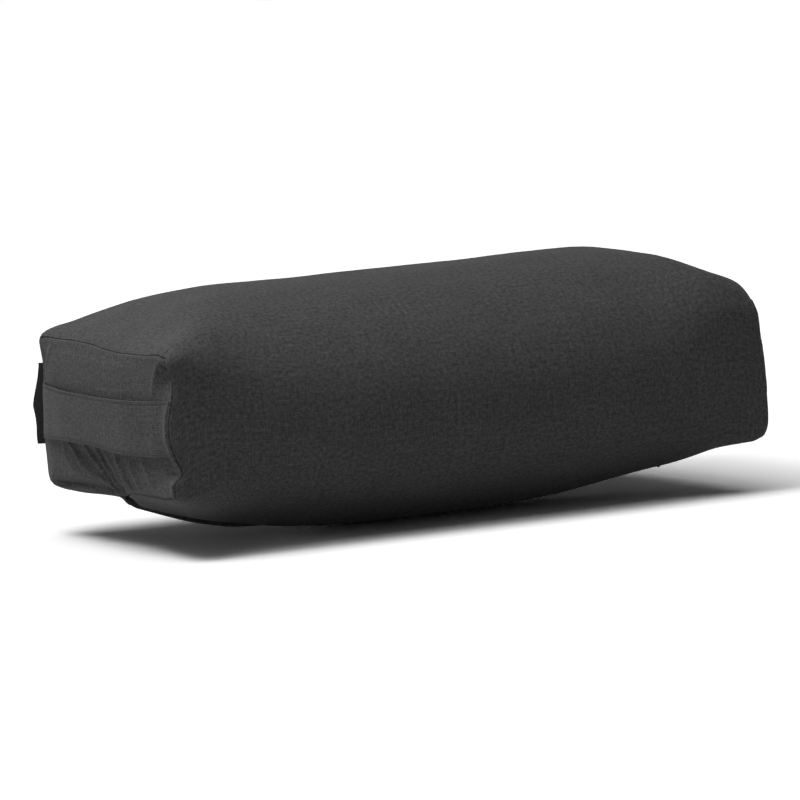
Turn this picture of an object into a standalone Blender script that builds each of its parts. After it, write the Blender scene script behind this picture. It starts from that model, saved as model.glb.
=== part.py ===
"""Rectangular yoga bolster: sewn canvas cover, end handles, lengthwise zip and a removable filled insert.

Metres, +Z up. +X runs along the bolster, towards the end where the closed zip's slider is parked.
The origin is on the floor, under the middle of the bolster.
"""

import math

import bmesh
import bpy
import numpy as np
from mathutils import Matrix, Vector

# Cover, seam to seam
LENGTH = 0.610
END_WIDTH = 0.314
END_HEIGHT = 0.143
CANVAS = 0.0010

# How far the filled cover swells past its end panels, and how soon each swelling dies out towards the ends
SIDE_SWELL = 0.0087
TOP_SWELL = 0.0484
BELLY_SWELL = 0.0500
SIDE_POWER = 2.84
TOP_POWER = 6.25
BELLY_POWER = 2.8

# Squareness of the section: 2 is an ellipse, and a high value is a rectangle with small corners
MIDDLE_SQUARENESS = 2.02
END_SQUARENESS = 11.2
SQUARENESS_POWER = 9.2

# The weight of the bolster flattens its underside by this much
FLOOR_FLAT = 0.0005

# Clearance between pieces that touch, and the overrun of a cut
FIT = 0.0004
OVERRUN = 0.002

# End panels
PANEL_BULGE = 0.006
PANEL_RING_SHARES = (1.0, 0.8, 0.55, 0.28)

# Handle straps: folded canvas, sewn into the upright seams of the end panels
STRAP_WIDTH = 0.051
STRAP_THICK = 0.0020
STRAP_SLACK = 0.0060
STRAP_SEAM_MARGIN = 0.0008
STRAP_FLAT_SHARE = 0.10
STRAP_RISE_SHARE = 0.45
STRAP_STEPS = 20

# Folded label in the upright seam at the handle end, left bare
LABEL_HEIGHT = 0.076
LABEL_ABOVE_EQUATOR = 0.0075
LABEL_REACH = 0.0115
LABEL_PLY = 0.0006
LABEL_FOLD_GAP = 0.0012
LABEL_ANGLE = math.radians(135)

# Zip chain: it lies between the two hemmed edges of the wrap panel, on a shallow arc along the underside
ZIP_RECESS_MIDDLE = 0.0075
ZIP_RECESS_END = 0.0050
CHANNEL_HALF = 0.0076
HEM_WIDTH = 0.0095
TAPE_THICK = 0.0006
TAPE_WIDTH = 0.0120
TAPE_END_MARGIN = 0.004
TOOTH_PITCH = 0.0036
TOOTH_THICK = 0.0024
ROW_ROOT = 0.0016
ROW_EDGE = 0.0030
TOOTH_PAST_CENTRE = 0.0010
NECK_SHARE = 0.15
HEAD_SHARE = 0.235
TIP_SHARE = 0.17
BARB_SHARE = 0.55
TEETH_IN_A_SPAN = 4
LEFT_STAGGER_SHARE = 0.0
RIGHT_STAGGER_SHARE = 0.5
CHAIN_END_MARGIN = 0.028

# Zip slider, with its wide mouth towards +X
SLIDER_LENGTH = 0.0112
SLIDER_WALL = 0.0009
SLIDER_PLATE = 0.0010
SLIDER_PLAY = 0.0003
SLIDER_CORNER = 0.0011
TAPE_SLOT = 0.0013
SPLIT_START_SHARE = -0.22
SPLIT_END_SHARE = 0.32
SLIDER_STEP_SHARES = (SPLIT_START_SHARE, -0.1, 0.0, 0.1, 0.2, SPLIT_END_SHARE)
WEDGE_HALF = 0.0009
LOOP_WIDTH = 0.0020
LOOP_THICK = 0.0008
LOOP_LENGTH = 0.0070
LOOP_SLOPE = 0.0006
LOOP_CLEAR = 0.0024

# Pull tab, which hangs from the slider's loop
PULL_LENGTH = 0.0250
PULL_WIDTH = 0.0080
PULL_NECK = 0.0066
PULL_THICK = 0.0012
PULL_BAR = 0.0007
PULL_ROUND_STEPS = 6

# Stops at the chain's ends
STOP_LENGTH = 0.0020
BOTTOM_STOP_LENGTH = 0.0040
STOP_THICK = 0.0027
BOTTOM_STOP_THICK = 0.0036

# Insert: a cotton bag, batting round a foam block
LINER = 0.0006
LINER_INSET = 0.0030
LINER_RELIEF = 0.0040
RELIEF_HALF = 0.0200
BATTING_INSET = 0.0022
CORE_END_GAP = 0.009
CORE_WIDTH = 0.230
CORE_HEIGHT = 0.062
CORE_EDGE = 0.012
CORE_EDGE_STEPS = 3

# Where the lengthwise rows of the cloth lie on each stretch of the half section, and its stations along X
UNDER_ROW_SHARES = (0.34, 0.64, 0.90)
SIDE_ROW_SHARES = (0.14, 0.5, 0.86)
TOP_ROW_SHARES = (0.10, 0.36, 0.68)
STATION_SHARES = (0.0, 0.16, 0.30, 0.43, 0.56, 0.68, 0.79, 0.88, 0.95, 1.0)
OUTLINE_SAMPLES = 241

# Worked out from the sizes above
HALF_LENGTH = LENGTH / 2
EQUATOR = END_HEIGHT / 2 + BELLY_SWELL - FLOOR_FLAT
LOW_CORNER_SHARE = END_WIDTH / 2 / (END_WIDTH + END_HEIGHT)
HIGH_CORNER_SHARE = 1 - LOW_CORNER_SHARE
CHAIN_RISE = BELLY_SWELL + ZIP_RECESS_END - ZIP_RECESS_MIDDLE
CHAIN_RADIUS = (HALF_LENGTH**2 + CHAIN_RISE**2) / (2 * CHAIN_RISE)
CHAIN_CENTRE = Vector((0, 0, ZIP_RECESS_MIDDLE - FLOOR_FLAT + CHAIN_RADIUS))
CHAIN_HALF = HALF_LENGTH - CHAIN_END_MARGIN
SLIDER_AT = CHAIN_HALF
SPLIT_OFFSET = WEDGE_HALF + TOOTH_PAST_CENTRE + SLIDER_PLAY
SLIDER_ROOM = TOOTH_THICK / 2 + SLIDER_PLAY
SLIDER_HALF_HEIGHT = SLIDER_ROOM + SLIDER_PLATE
PULL_AXIS_DROP = SLIDER_HALF_HEIGHT + LOOP_CLEAR / 2
PANEL_FACE = HALF_LENGTH + FIT + CANVAS

SHADES = {
    "canvas": ((0.062, 0.062, 0.064, 1), 0.92, 0.0),
    "label": ((0.016, 0.016, 0.018, 1), 0.85, 0.0),
    "zip_tape": ((0.012, 0.012, 0.013, 1), 0.9, 0.0),
    "zip_teeth": ((0.014, 0.014, 0.015, 1), 0.45, 0.0),
    "zip_metal": ((0.03, 0.03, 0.032, 1), 0.35, 0.8),
    "liner": ((0.62, 0.58, 0.50, 1), 0.9, 0.0),
    "batting": ((0.80, 0.77, 0.70, 1), 0.95, 0.0),
    "foam": ((0.70, 0.72, 0.66, 1), 0.9, 0.0),
}


def start():
    """Empties the scene and makes the two collections."""
    for old in list(bpy.data.objects):
        bpy.data.objects.remove(old, do_unlink=True)
    made = []
    for name in ("yoga_bolster", "cutters"):
        group = bpy.data.collections.new(name)
        bpy.context.scene.collection.children.link(group)
        made.append(group)
    return made


def shade(slot):
    """One material for each kind of surface."""
    if slot not in bpy.data.materials:
        colour, rough, metal = SHADES[slot]
        material = bpy.data.materials.new(slot)
        material.use_nodes = True
        principled = material.node_tree.nodes["Principled BSDF"]
        principled.inputs["Base Color"].default_value = colour
        principled.inputs["Roughness"].default_value = rough
        principled.inputs["Metallic"].default_value = metal
        material.diffuse_color = colour
    return bpy.data.materials[slot]


def add_object(name, mesh, slot, smooth=True):
    """Links a mesh as a named piece of the bolster."""
    piece = bpy.data.objects.new(name, mesh)
    PIECES.objects.link(piece)
    piece.data.materials.append(shade(slot))
    if smooth:
        mesh.shade_smooth()
        mesh.set_sharp_from_angle(angle=math.radians(40))
    return piece


def mesh_from(name, bm):
    mesh = bpy.data.meshes.new(name)
    bm.to_mesh(mesh)
    bm.free()
    return mesh


def solidify(piece, thick, offset):
    """Turns an open sheet into cloth of a given thickness. Offset -1 grows it inwards, 1 outwards."""
    wall = piece.modifiers.new("thickness", "SOLIDIFY")
    wall.thickness = thick
    wall.offset = offset
    wall.use_even_offset = True
    wall.use_quality_normals = True


def boolean(piece, other, operation):
    cut = piece.modifiers.new(other.name, "BOOLEAN")
    cut.operation = operation
    cut.object = other
    cut.solver = "EXACT"


def as_cutter(tool, carrier):
    """Moves an object to the cutters and lets it follow the piece that it shapes."""
    for group in list(tool.users_collection):
        group.objects.unlink(tool)
    CUTTERS.objects.link(tool)
    tool.parent = carrier
    tool.hide_render = True
    tool.display_type = "WIRE"
    return tool


def ease(value):
    """Smooth step from 0 to 1."""
    value = min(max(value, 0.0), 1.0)
    return value * value * (3 - 2 * value)


def section(x, inset):
    """Half width, height above and below the equator, and squareness of the filled cover at x."""
    along = min(abs(x) / HALF_LENGTH, 1.0)
    half_width = END_WIDTH / 2 + SIDE_SWELL * (1 - along**SIDE_POWER) - inset
    above = END_HEIGHT / 2 + TOP_SWELL * (1 - along**TOP_POWER) - inset
    below = END_HEIGHT / 2 + BELLY_SWELL * (1 - along**BELLY_POWER) - inset
    squareness = MIDDLE_SQUARENESS + (END_SQUARENESS - MIDDLE_SQUARENESS) * along**SQUARENESS_POWER
    return half_width, above, below, squareness


def half_outline(x, inset):
    """The +Y half of the section as sampled points, bottom centre to top centre, with lengths as shares."""
    half_width, above, below, squareness = section(x, inset)
    turn = np.linspace(-math.pi / 2, math.pi / 2, OUTLINE_SAMPLES)
    across, up = np.abs(np.cos(turn)), np.sin(turn)
    reach = (across**squareness + np.abs(up) ** squareness) ** (-1 / squareness)
    y = half_width * reach * across
    z = EQUATOR + np.where(up >= 0, above, below) * reach * up
    steps = np.hypot(np.diff(y), np.diff(z))
    share = np.concatenate(([0.0], np.cumsum(steps)))
    return y, z, share / share[-1]


def outline_at(x, inset, share):
    """The point of the half section at a share of the cloth's length."""
    y, z, shares = half_outline(x, inset)
    return float(np.interp(share, shares, y)), float(np.interp(share, shares, z))


def underside_at(x, inset, y_wanted):
    """Height of the underside at a distance from the centre line."""
    y, z, shares = half_outline(x, inset)
    under = shares <= LOW_CORNER_SHARE
    return float(np.interp(y_wanted, y[under], z[under]))


def floor_half():
    """Half width of the strip that the floor flattens, from the middle section."""
    y, z, _ = half_outline(0.0, 0.0)
    low = z < EQUATOR
    return float(np.interp(0.0, z[low], y[low]))


def chain_height(x):
    """Height of the zip chain's middle plane at x."""
    return CHAIN_CENTRE.z - math.sqrt(CHAIN_RADIUS**2 - x**2)


def chain_point(along, y, up):
    """A point given by its distance along the chain's arc, its side distance and its height off the chain."""
    angle = along / CHAIN_RADIUS
    radius = CHAIN_RADIUS - up
    return Vector((radius * math.sin(angle), y, CHAIN_CENTRE.z - radius * math.cos(angle)))


def split(along):
    """How far each half of the chain is spread by the slider's wedge at its parked place."""
    begin = SLIDER_AT + SPLIT_START_SHARE * SLIDER_LENGTH
    end = SLIDER_AT + SPLIT_END_SHARE * SLIDER_LENGTH
    return SPLIT_OFFSET * ease((along - begin) / (end - begin))


def stations(half, every=1):
    """Places along X, from the -X end to the +X end. Every second one will do for the batting."""
    shares = STATION_SHARES[::-1][::every][::-1]
    if shares[0] != 0:
        shares = (0.0,) + shares
    right = [share * half for share in shares]
    return [-x for x in right[:0:-1]] + right


def row_places():
    """The rows of the half section above the zip: which stretch each is on, and its share of that stretch."""
    rows = [("under", share) for share in UNDER_ROW_SHARES] + [("under", 1.0)]
    rows += [("side", share) for share in SIDE_ROW_SHARES] + [("side", 1.0)]
    rows += [("top", share) for share in TOP_ROW_SHARES] + [("top", 1.0)]
    return rows


def cloth_share(stretch, part):
    """Share of the half section's length for a place on one of its stretches."""
    begin, end = {
        "under": (0.0, LOW_CORNER_SHARE),
        "side": (LOW_CORNER_SHARE, HIGH_CORNER_SHARE),
        "top": (HIGH_CORNER_SHARE, 1.0),
    }[stretch]
    return begin + (end - begin) * part


def mirrored(half):
    """A whole section from its +Y half: over the top to the -Y side. The last point of the half is shared."""
    return half + [(-y, z) for y, z in half[-2::-1]]


def loft_sheet(bm, xs, sections, closed=False):
    """Faces between neighbouring sections, facing out."""
    rings = [[bm.verts.new((x, y, z)) for y, z in points] for x, points in zip(xs, sections)]
    count = len(rings[0])
    for one, two in zip(rings, rings[1:]):
        for j in range(count if closed else count - 1):
            k = (j + 1) % count
            bm.faces.new((one[j], one[k], two[k], two[j]))
    return rings


def cover_section(x):
    """The wrap panel's outer face at x, with a hem turned in along each side of the zip."""
    hem_height = chain_height(x) - TAPE_THICK / 2 - FIT
    half = [(CHANNEL_HALF + HEM_WIDTH, hem_height), (CHANNEL_HALF, hem_height)]
    for y in (CHANNEL_HALF, floor_half()):
        half.append((y, max(underside_at(x, 0.0, y), 0.0)))
    for stretch, part in row_places():
        y, z = outline_at(x, 0.0, cloth_share(stretch, part))
        half.append((y, max(z, 0.0)))
    return mirrored(half)


def insert_half(x, inset, lift):
    """The +Y half of a layer inside the cover, raised over the zip."""
    over_zip = chain_height(x) + lift
    half = []
    for y in (0.0, RELIEF_HALF):
        half.append((y, max(underside_at(x, inset, y), over_zip)))
    for stretch, part in row_places():
        half.append(outline_at(x, inset, cloth_share(stretch, part)))
    return half


def insert_ring(half):
    """A closed section from its +Y half, whose first and last points lie on the centre line."""
    return half + [(-y, z) for y, z in half[-2:0:-1]]


def core_half():
    """The +Y half of the box that holds the foam block, on the same rows as the layers round it."""
    wide, high = CORE_WIDTH / 2 + FIT, CORE_HEIGHT / 2 + FIT
    half = [(0.0, EQUATOR - high), (RELIEF_HALF, EQUATOR - high)]
    for stretch, part in row_places():
        if stretch == "under":
            half.append((RELIEF_HALF + (wide - RELIEF_HALF) * part, EQUATOR - high))
        elif stretch == "side":
            half.append((wide, EQUATOR - high + 2 * high * part))
        else:
            half.append((wide * (1 - part), EQUATOR + high))
    return half


def between(inner, outer, shift):
    """Points half way between two halves of a section, moved outwards by a shift."""
    half = []
    for (y_in, z_in), (y_out, z_out) in zip(inner, outer):
        way = Vector((y_out - y_in, z_out - z_in))
        point = Vector((y_in, z_in)) + way / 2 + way.normalized() * shift
        half.append((max(point.x, 0.0), point.y))
    return half


def make_wrap_panel():
    """Top, both long sides and underside in one length of canvas, open along the zip."""
    bm = bmesh.new()
    xs = stations(HALF_LENGTH)
    loft_sheet(bm, xs, [cover_section(x) for x in xs])
    panel = add_object("cover_wrap_panel", mesh_from("cover_wrap_panel", bm), "canvas")
    solidify(panel, CANVAS, -1)


def panel_bulge(share):
    """How far an end panel stands out, at a share of the way from its middle to its seam."""
    return PANEL_BULGE * (1 - share**2)


def make_end_panel(name, slot, direction, rim, half, thick):
    """A sewn-in end: its outer face at the rim's distance along X, bulging outwards over the fill."""
    bm = bmesh.new()
    outline = insert_ring(half)
    rings = []
    for share in PANEL_RING_SHARES:
        x = direction * (rim + panel_bulge(share))
        rings.append([bm.verts.new((x, y * share, EQUATOR + (z - EQUATOR) * share)) for y, z in outline])
    middle = bm.verts.new((direction * (rim + panel_bulge(0)), 0, EQUATOR))
    count = len(outline)
    for j in range(count):
        k = (j + 1) % count
        for one, two in zip(rings, rings[1:]):
            bm.faces.new((one[j], one[k], two[k], two[j]))
        bm.faces.new((rings[-1][j], rings[-1][k], middle))
    if direction < 0:
        bmesh.ops.reverse_faces(bm, faces=bm.faces)
    panel = add_object(name, mesh_from(name, bm), slot)
    solidify(panel, thick, -1)


def strap_gap(share):
    """Slack between the panel and the strap, at a share of the half width from the middle."""
    seam = 1 - STRAP_FLAT_SHARE
    return FIT + STRAP_SLACK * ease((seam - share) / (seam - STRAP_RISE_SHARE))


def make_strap(name, direction):
    """A flat handle across the end panel, held in both upright seams."""
    bm = bmesh.new()
    reach = END_WIDTH / 2 - STRAP_SEAM_MARGIN
    rails = []
    for i in range(STRAP_STEPS + 1):
        y = reach * (2 * i / STRAP_STEPS - 1)
        share = abs(y) / (END_WIDTH / 2)
        x = direction * (PANEL_FACE + panel_bulge(share) + strap_gap(share))
        rails.append([bm.verts.new((x, y, EQUATOR + STRAP_WIDTH * up)) for up in (-0.5, 0.0, 0.5)])
    for one, two in zip(rails, rails[1:]):
        for j in range(len(one) - 1):
            bm.faces.new((one[j], two[j], two[j + 1], one[j + 1]))
    if direction < 0:
        bmesh.ops.reverse_faces(bm, faces=bm.faces)
    strap = add_object(name, mesh_from(name, bm), "canvas")
    solidify(strap, STRAP_THICK, 1)


def flat_outline(name, outlines, thick, slot):
    """A closed flat outline, with holes if more than one is given, as a solid centred on its plane."""
    curve = bpy.data.curves.new(name, "CURVE")
    curve.dimensions = "2D"
    curve.fill_mode = "BOTH"
    curve.extrude = thick / 2
    for points in outlines:
        spline = curve.splines.new("POLY")
        spline.points.add(len(points) - 1)
        for place, (u, v) in zip(spline.points, points):
            place.co = (u, v, 0, 1)
        spline.use_cyclic_u = True
    drawn = bpy.data.objects.new(name + "_outline", curve)
    bpy.context.scene.collection.objects.link(drawn)
    bpy.context.view_layer.update()
    evaluated = drawn.evaluated_get(bpy.context.evaluated_depsgraph_get())
    mesh = bpy.data.meshes.new_from_object(evaluated)
    bpy.data.objects.remove(drawn, do_unlink=True)
    mesh.name = name
    mesh.materials.clear()
    bm = bmesh.new()
    bm.from_mesh(mesh)
    bmesh.ops.remove_doubles(bm, verts=bm.verts, dist=OVERRUN / 1000)
    bmesh.ops.recalc_face_normals(bm, faces=bm.faces)
    bm.to_mesh(mesh)
    bm.free()
    return add_object(name, mesh, slot, smooth=False)


def make_label():
    """A ribbon folded over and caught in the seam by its two ends."""
    outer = LABEL_PLY + LABEL_FOLD_GAP / 2
    inner = LABEL_FOLD_GAP / 2
    straight = LABEL_REACH - outer
    outline = [(0, outer), (straight, outer)]
    outline += [
        (straight + outer * math.cos(math.radians(a)), outer * math.sin(math.radians(a)))
        for a in (60, 30, 0, -30, -60)
    ]
    outline += [(straight, -outer), (0, -outer), (0, -inner), (straight, -inner)]
    outline += [
        (straight + inner * math.cos(math.radians(a)), inner * math.sin(math.radians(a)))
        for a in (-45, 0, 45)
    ]
    outline += [(straight, inner), (0, inner)]
    label = flat_outline("side_label_tab", [outline], LABEL_HEIGHT, "label")
    clear = FIT + outer
    label.location = (
        -HALF_LENGTH - clear * math.cos(LABEL_ANGLE) ** 2,
        END_WIDTH / 2 + clear * math.sin(LABEL_ANGLE) ** 2,
        EQUATOR + LABEL_ABOVE_EQUATOR,
    )
    label.rotation_euler = (0, 0, LABEL_ANGLE)


def tape_places():
    """Stations of the zip tape: along the cover, and closer together where the slider spreads it."""
    end = HALF_LENGTH - TAPE_END_MARGIN
    spread = [SLIDER_AT + SLIDER_LENGTH * share for share in SLIDER_STEP_SHARES]
    coarse = [x for x in stations(end) if abs(x - SLIDER_AT) > SLIDER_LENGTH]
    return sorted(coarse + spread)


def make_tape(name, side):
    """Woven tape beside the teeth, lying on the hem of the wrap panel."""
    bm = bmesh.new()
    rails = []
    for along in tape_places():
        inner = ROW_EDGE + FIT + split(along)
        outer = ROW_EDGE + FIT + TAPE_WIDTH
        rails.append([bm.verts.new(chain_point(along, side * y, 0)) for y in (inner, outer)])
    for one, two in zip(rails, rails[1:]):
        bm.faces.new((one[0], two[0], two[1], one[1]))
    if side < 0:
        bmesh.ops.reverse_faces(bm, faces=bm.faces)
    tape = add_object(name, mesh_from(name, bm), "zip_tape")
    solidify(tape, TAPE_THICK, 0)


def tooth_count():
    """Teeth in each row, from the bottom stop to the middle of the parked slider."""
    return int((SLIDER_AT + CHAIN_HALF) / TOOTH_PITCH)


def tooth_outline():
    """One tooth in plan: distance along the chain from its middle, and reach from the row's root."""
    reach = ROW_ROOT + TOOTH_PAST_CENTRE
    half = [
        (NECK_SHARE * TOOTH_PITCH, 0.0),
        (HEAD_SHARE * TOOTH_PITCH, BARB_SHARE * reach),
        (TIP_SHARE * TOOTH_PITCH, reach),
    ]
    return [(-along, out) for along, out in half] + half[::-1]


def row_start(stagger):
    """Where a row of teeth begins. One row is half a pitch ahead of the other, so that they mesh."""
    return SLIDER_AT + SLIDER_LENGTH * SPLIT_END_SHARE - (tooth_count() + stagger) * TOOTH_PITCH


def make_teeth(name, side, stagger):
    """A row of moulded teeth on its base strip, spread by the wedge where the slider is parked."""
    bm = bmesh.new()
    count = tooth_count()
    begin = row_start(stagger)

    def pair(along, y):
        y_spread = side * (y + split(along))
        return [bm.verts.new(chain_point(along, y_spread, up * TOOTH_THICK / 2)) for up in (-1, 1)]

    def wall(one, two):
        bm.faces.new((one[0], two[0], two[1], one[1]))

    back = pair(begin, ROW_EDGE)
    front = [pair(begin, ROW_ROOT)]
    wall(back, front[0])
    for tooth in range(count):
        middle = begin + (tooth + 0.5) * TOOTH_PITCH
        for along, reach in tooth_outline():
            front.append(pair(middle + along, ROW_ROOT - reach))
        end = begin + (tooth + 1) * TOOTH_PITCH
        near_slider = end > SLIDER_AT - SLIDER_LENGTH
        if near_slider or (tooth + 1) % TEETH_IN_A_SPAN == 0 or tooth + 1 == count:
            front.append(pair(end, ROW_ROOT))
            next_back = pair(end, ROW_EDGE)
            for one, two in zip(front, front[1:]):
                wall(one, two)
            wall(next_back, back)
            for level in (0, 1):
                bm.faces.new([back[level]] + [points[level] for points in front] + [next_back[level]])
            back, front = next_back, [front[-1]]
    wall(front[0], back)
    bm.normal_update()
    bmesh.ops.triangulate(bm, faces=[face for face in bm.faces if len(face.verts) > 4])
    bmesh.ops.recalc_face_normals(bm, faces=bm.faces)
    add_object(name, mesh_from(name, bm), "zip_teeth", smooth=False)


def box(name, size, slot):
    """A box about its own origin, from a cube of unit size."""
    bm = bmesh.new()
    bmesh.ops.create_cube(bm, size=1)
    bmesh.ops.scale(bm, vec=size, verts=bm.verts)
    return add_object(name, mesh_from(name, bm), slot, smooth=False)


def set_on_chain(piece, along, y=0.0):
    """Places a piece on the chain's arc, turned to lie along it."""
    piece.location = chain_point(along, y, 0)
    piece.rotation_euler = (0, -along / CHAIN_RADIUS, 0)


def make_stops():
    """The chain's three stops: two where the teeth part, and one that joins the tapes at the other end."""
    inner = WEDGE_HALF + SLIDER_PLAY
    outer = ROW_EDGE + SPLIT_OFFSET
    top_at = SLIDER_AT + SLIDER_LENGTH * SPLIT_END_SHARE + FIT + STOP_LENGTH / 2
    for name, side in (("zip_top_stop_left", 1), ("zip_top_stop_right", -1)):
        stop = box(name, (STOP_LENGTH, outer - inner, STOP_THICK), "zip_teeth")
        set_on_chain(stop, top_at, side * (outer + inner) / 2)
    stop = box("zip_bottom_stop", (BOTTOM_STOP_LENGTH, 2 * ROW_EDGE, BOTTOM_STOP_THICK), "zip_teeth")
    set_on_chain(stop, row_start(RIGHT_STAGGER_SHARE) - FIT - BOTTOM_STOP_LENGTH / 2)


def slider_half_width(share):
    """Half width of the slider's channel at a share of its length from its middle."""
    return ROW_EDGE + SLIDER_PLAY + split(SLIDER_AT + share * SLIDER_LENGTH)


def both_sides(half):
    """A closed outline from the half with v above 0, in order of u."""
    return half + [(u, -v) for u, v in half[::-1]]


def make_slider():
    """Two plates joined by a wedge, grooved for the teeth and slotted for the tapes, with a loop below."""
    end = SLIDER_LENGTH / 2
    steps = (-0.5, *SLIDER_STEP_SHARES, 0.5)
    edge = [(share * SLIDER_LENGTH, slider_half_width(share) + SLIDER_WALL) for share in steps]
    tail_width, mouth_width = edge[0][1], edge[-1][1]
    edge[0] = (-end + SLIDER_CORNER, tail_width)
    edge[-1] = (end - SLIDER_CORNER, mouth_width)
    edge = [(-end, tail_width - SLIDER_CORNER)] + edge + [(end, mouth_width - SLIDER_CORNER)]
    slider = flat_outline("zip_slider_body", [both_sides(edge)], 2 * SLIDER_HALF_HEIGHT, "zip_metal")

    channel = [(share * SLIDER_LENGTH, slider_half_width(share)) for share in steps]
    channel[0] = (-end - OVERRUN, channel[0][1])
    channel[-1] = (end + OVERRUN, channel[-1][1])
    wedge = []
    for share in (0.5, SPLIT_END_SHARE, SLIDER_STEP_SHARES[-2]):
        half_width = split(SLIDER_AT + share * SLIDER_LENGTH) - TOOTH_PAST_CENTRE - SLIDER_PLAY
        wedge.append((share * SLIDER_LENGTH, half_width))
    wedge[0] = (end + OVERRUN, wedge[0][1])
    tip = (wedge[-1][0] - wedge[-1][1], 0.0)
    branch = channel + wedge
    groove = flat_outline("slider_groove", [branch + [tip] + branch_mirror(branch)], 2 * SLIDER_ROOM, "zip_metal")
    cuts = [groove]
    slot_width = mouth_width + OVERRUN - ROW_EDGE
    for side in (1, -1):
        slot = box("slider_tape_slot", (SLIDER_LENGTH + 2 * OVERRUN, slot_width, TAPE_SLOT), "zip_metal")
        slot.location = (0, side * (ROW_EDGE + slot_width / 2), 0)
        cuts.append(slot)
    for tool in cuts:
        boolean(slider, as_cutter(tool, slider), "DIFFERENCE")
    loop = as_cutter(make_loop(), slider)
    boolean(slider, loop, "UNION")
    place_on_arc(slider)
    return slider


def branch_mirror(branch):
    """The other side of a forked outline, in the order that closes it."""
    return [(u, -v) for u, v in branch[::-1]]


def make_loop():
    """The slider's loop: an arch along its lower plate, with its feet sunk into the plate."""
    foot = LOOP_LENGTH / 2
    sunk = SLIDER_PLATE / 2
    outer = [(-foot, -sunk), (-foot + LOOP_SLOPE, LOOP_CLEAR + LOOP_THICK)]
    inner = [(-foot + LOOP_THICK, -sunk), (-foot + LOOP_THICK + LOOP_SLOPE, LOOP_CLEAR)]
    outline = outer + [(-u, v) for u, v in outer[::-1]] + [(-u, v) for u, v in inner] + inner[::-1]
    loop = flat_outline("slider_loop", [outline], LOOP_WIDTH, "zip_metal")
    loop.rotation_euler = (math.radians(-90), 0, 0)
    loop.location = (0, 0, -SLIDER_HALF_HEIGHT)
    return loop


def place_on_arc(slider):
    """Gives the slider its origin on the axis of the chain's arc, and parks it at the end of the chain."""
    slider.data.transform(Matrix.Translation((0, 0, -CHAIN_RADIUS)))
    for tool in CUTTERS.objects:
        if tool.parent == slider:
            tool.location.z -= CHAIN_RADIUS
    slider.location = CHAIN_CENTRE
    slider.rotation_euler = (0, -SLIDER_AT / CHAIN_RADIUS, 0)


def make_pull():
    """The pull tab, hanging straight down from the loop, with its origin on its hinge line."""
    neck, wide = PULL_NECK / 2, PULL_WIDTH / 2
    top = -PULL_BAR
    turn = [math.radians(180 * i / PULL_ROUND_STEPS) for i in range(PULL_ROUND_STEPS + 1)]
    outline = [(neck, top), (neck, LOOP_LENGTH)]
    outline += [(wide * math.cos(a), PULL_LENGTH - wide + wide * math.sin(a)) for a in turn]
    outline += [(-neck, LOOP_LENGTH), (-neck, top)]
    eye_half = LOOP_WIDTH / 2 + FIT
    eye_end = LOOP_LENGTH / 2 + LOOP_THICK
    eye = [(-eye_half, PULL_BAR), (eye_half, PULL_BAR), (eye_half, eye_end), (-eye_half, eye_end)]
    pull = flat_outline("zip_pull_tab", [outline, eye], PULL_THICK, "zip_metal")
    across, down = Vector((0, 1, 0)), Vector((0, 0, -1))
    turned = Matrix((across, down, across.cross(down))).transposed().to_4x4()
    pull.matrix_world = Matrix.Translation(chain_point(SLIDER_AT, 0, -PULL_AXIS_DROP)) @ turned


def liner_rim():
    """Distance from the middle to the outer face of the liner's end panels, at their rim."""
    return HALF_LENGTH - FIT


def insert_half_length():
    """Half length of the liner's sleeve and of the batting in it."""
    return liner_rim() - LINER - FIT


def make_liner():
    """The insert's bag: a sleeve and two ends."""
    bm = bmesh.new()
    xs = stations(insert_half_length())
    lift = LINER_RELIEF
    loft_sheet(bm, xs, [insert_ring(insert_half(x, LINER_INSET, lift)) for x in xs], closed=True)
    sleeve = add_object("liner_sleeve", mesh_from("liner_sleeve", bm), "liner")
    solidify(sleeve, LINER, -1)
    end = insert_half(HALF_LENGTH, LINER_INSET, LINER_RELIEF)
    make_end_panel("liner_end_near", "liner", -1, liner_rim(), end, LINER)
    make_end_panel("liner_end_far", "liner", 1, liner_rim(), end, LINER)


def make_batting(name, outer_of, inner_of):
    """A sleeve of batting between two sections that are given for each place along X."""
    bm = bmesh.new()
    xs = stations(insert_half_length(), every=2)
    outer = loft_sheet(bm, xs, [insert_ring(outer_of(x)) for x in xs], closed=True)
    inner = loft_sheet(bm, xs, [insert_ring(inner_of(x)) for x in xs], closed=True)
    count = len(outer[0])
    for one, two in ((outer[0], inner[0]), (outer[-1], inner[-1])):
        for j in range(count):
            k = (j + 1) % count
            bm.faces.new((one[j], one[k], two[k], two[j]))
    bmesh.ops.recalc_face_normals(bm, faces=bm.faces)
    add_object(name, mesh_from(name, bm), "batting")


def make_fill():
    """Foam block, and two layers of batting wrapped round it."""
    inset = LINER_INSET + LINER + BATTING_INSET
    lift = LINER_RELIEF + LINER + BATTING_INSET

    def skin(x):
        return insert_half(x, inset, lift)

    make_batting("batting_outer_wrap", skin, lambda x: between(core_half(), skin(x), FIT))
    make_batting("batting_inner_wrap", lambda x: between(core_half(), skin(x), -FIT), lambda x: core_half())
    core_length = 2 * (insert_half_length() - CORE_END_GAP)
    core = box("foam_core", (core_length, CORE_WIDTH, CORE_HEIGHT), "foam")
    core.location = (0, 0, EQUATOR)
    edge = core.modifiers.new("edge", "BEVEL")
    edge.width = CORE_EDGE
    edge.segments = CORE_EDGE_STEPS


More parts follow.
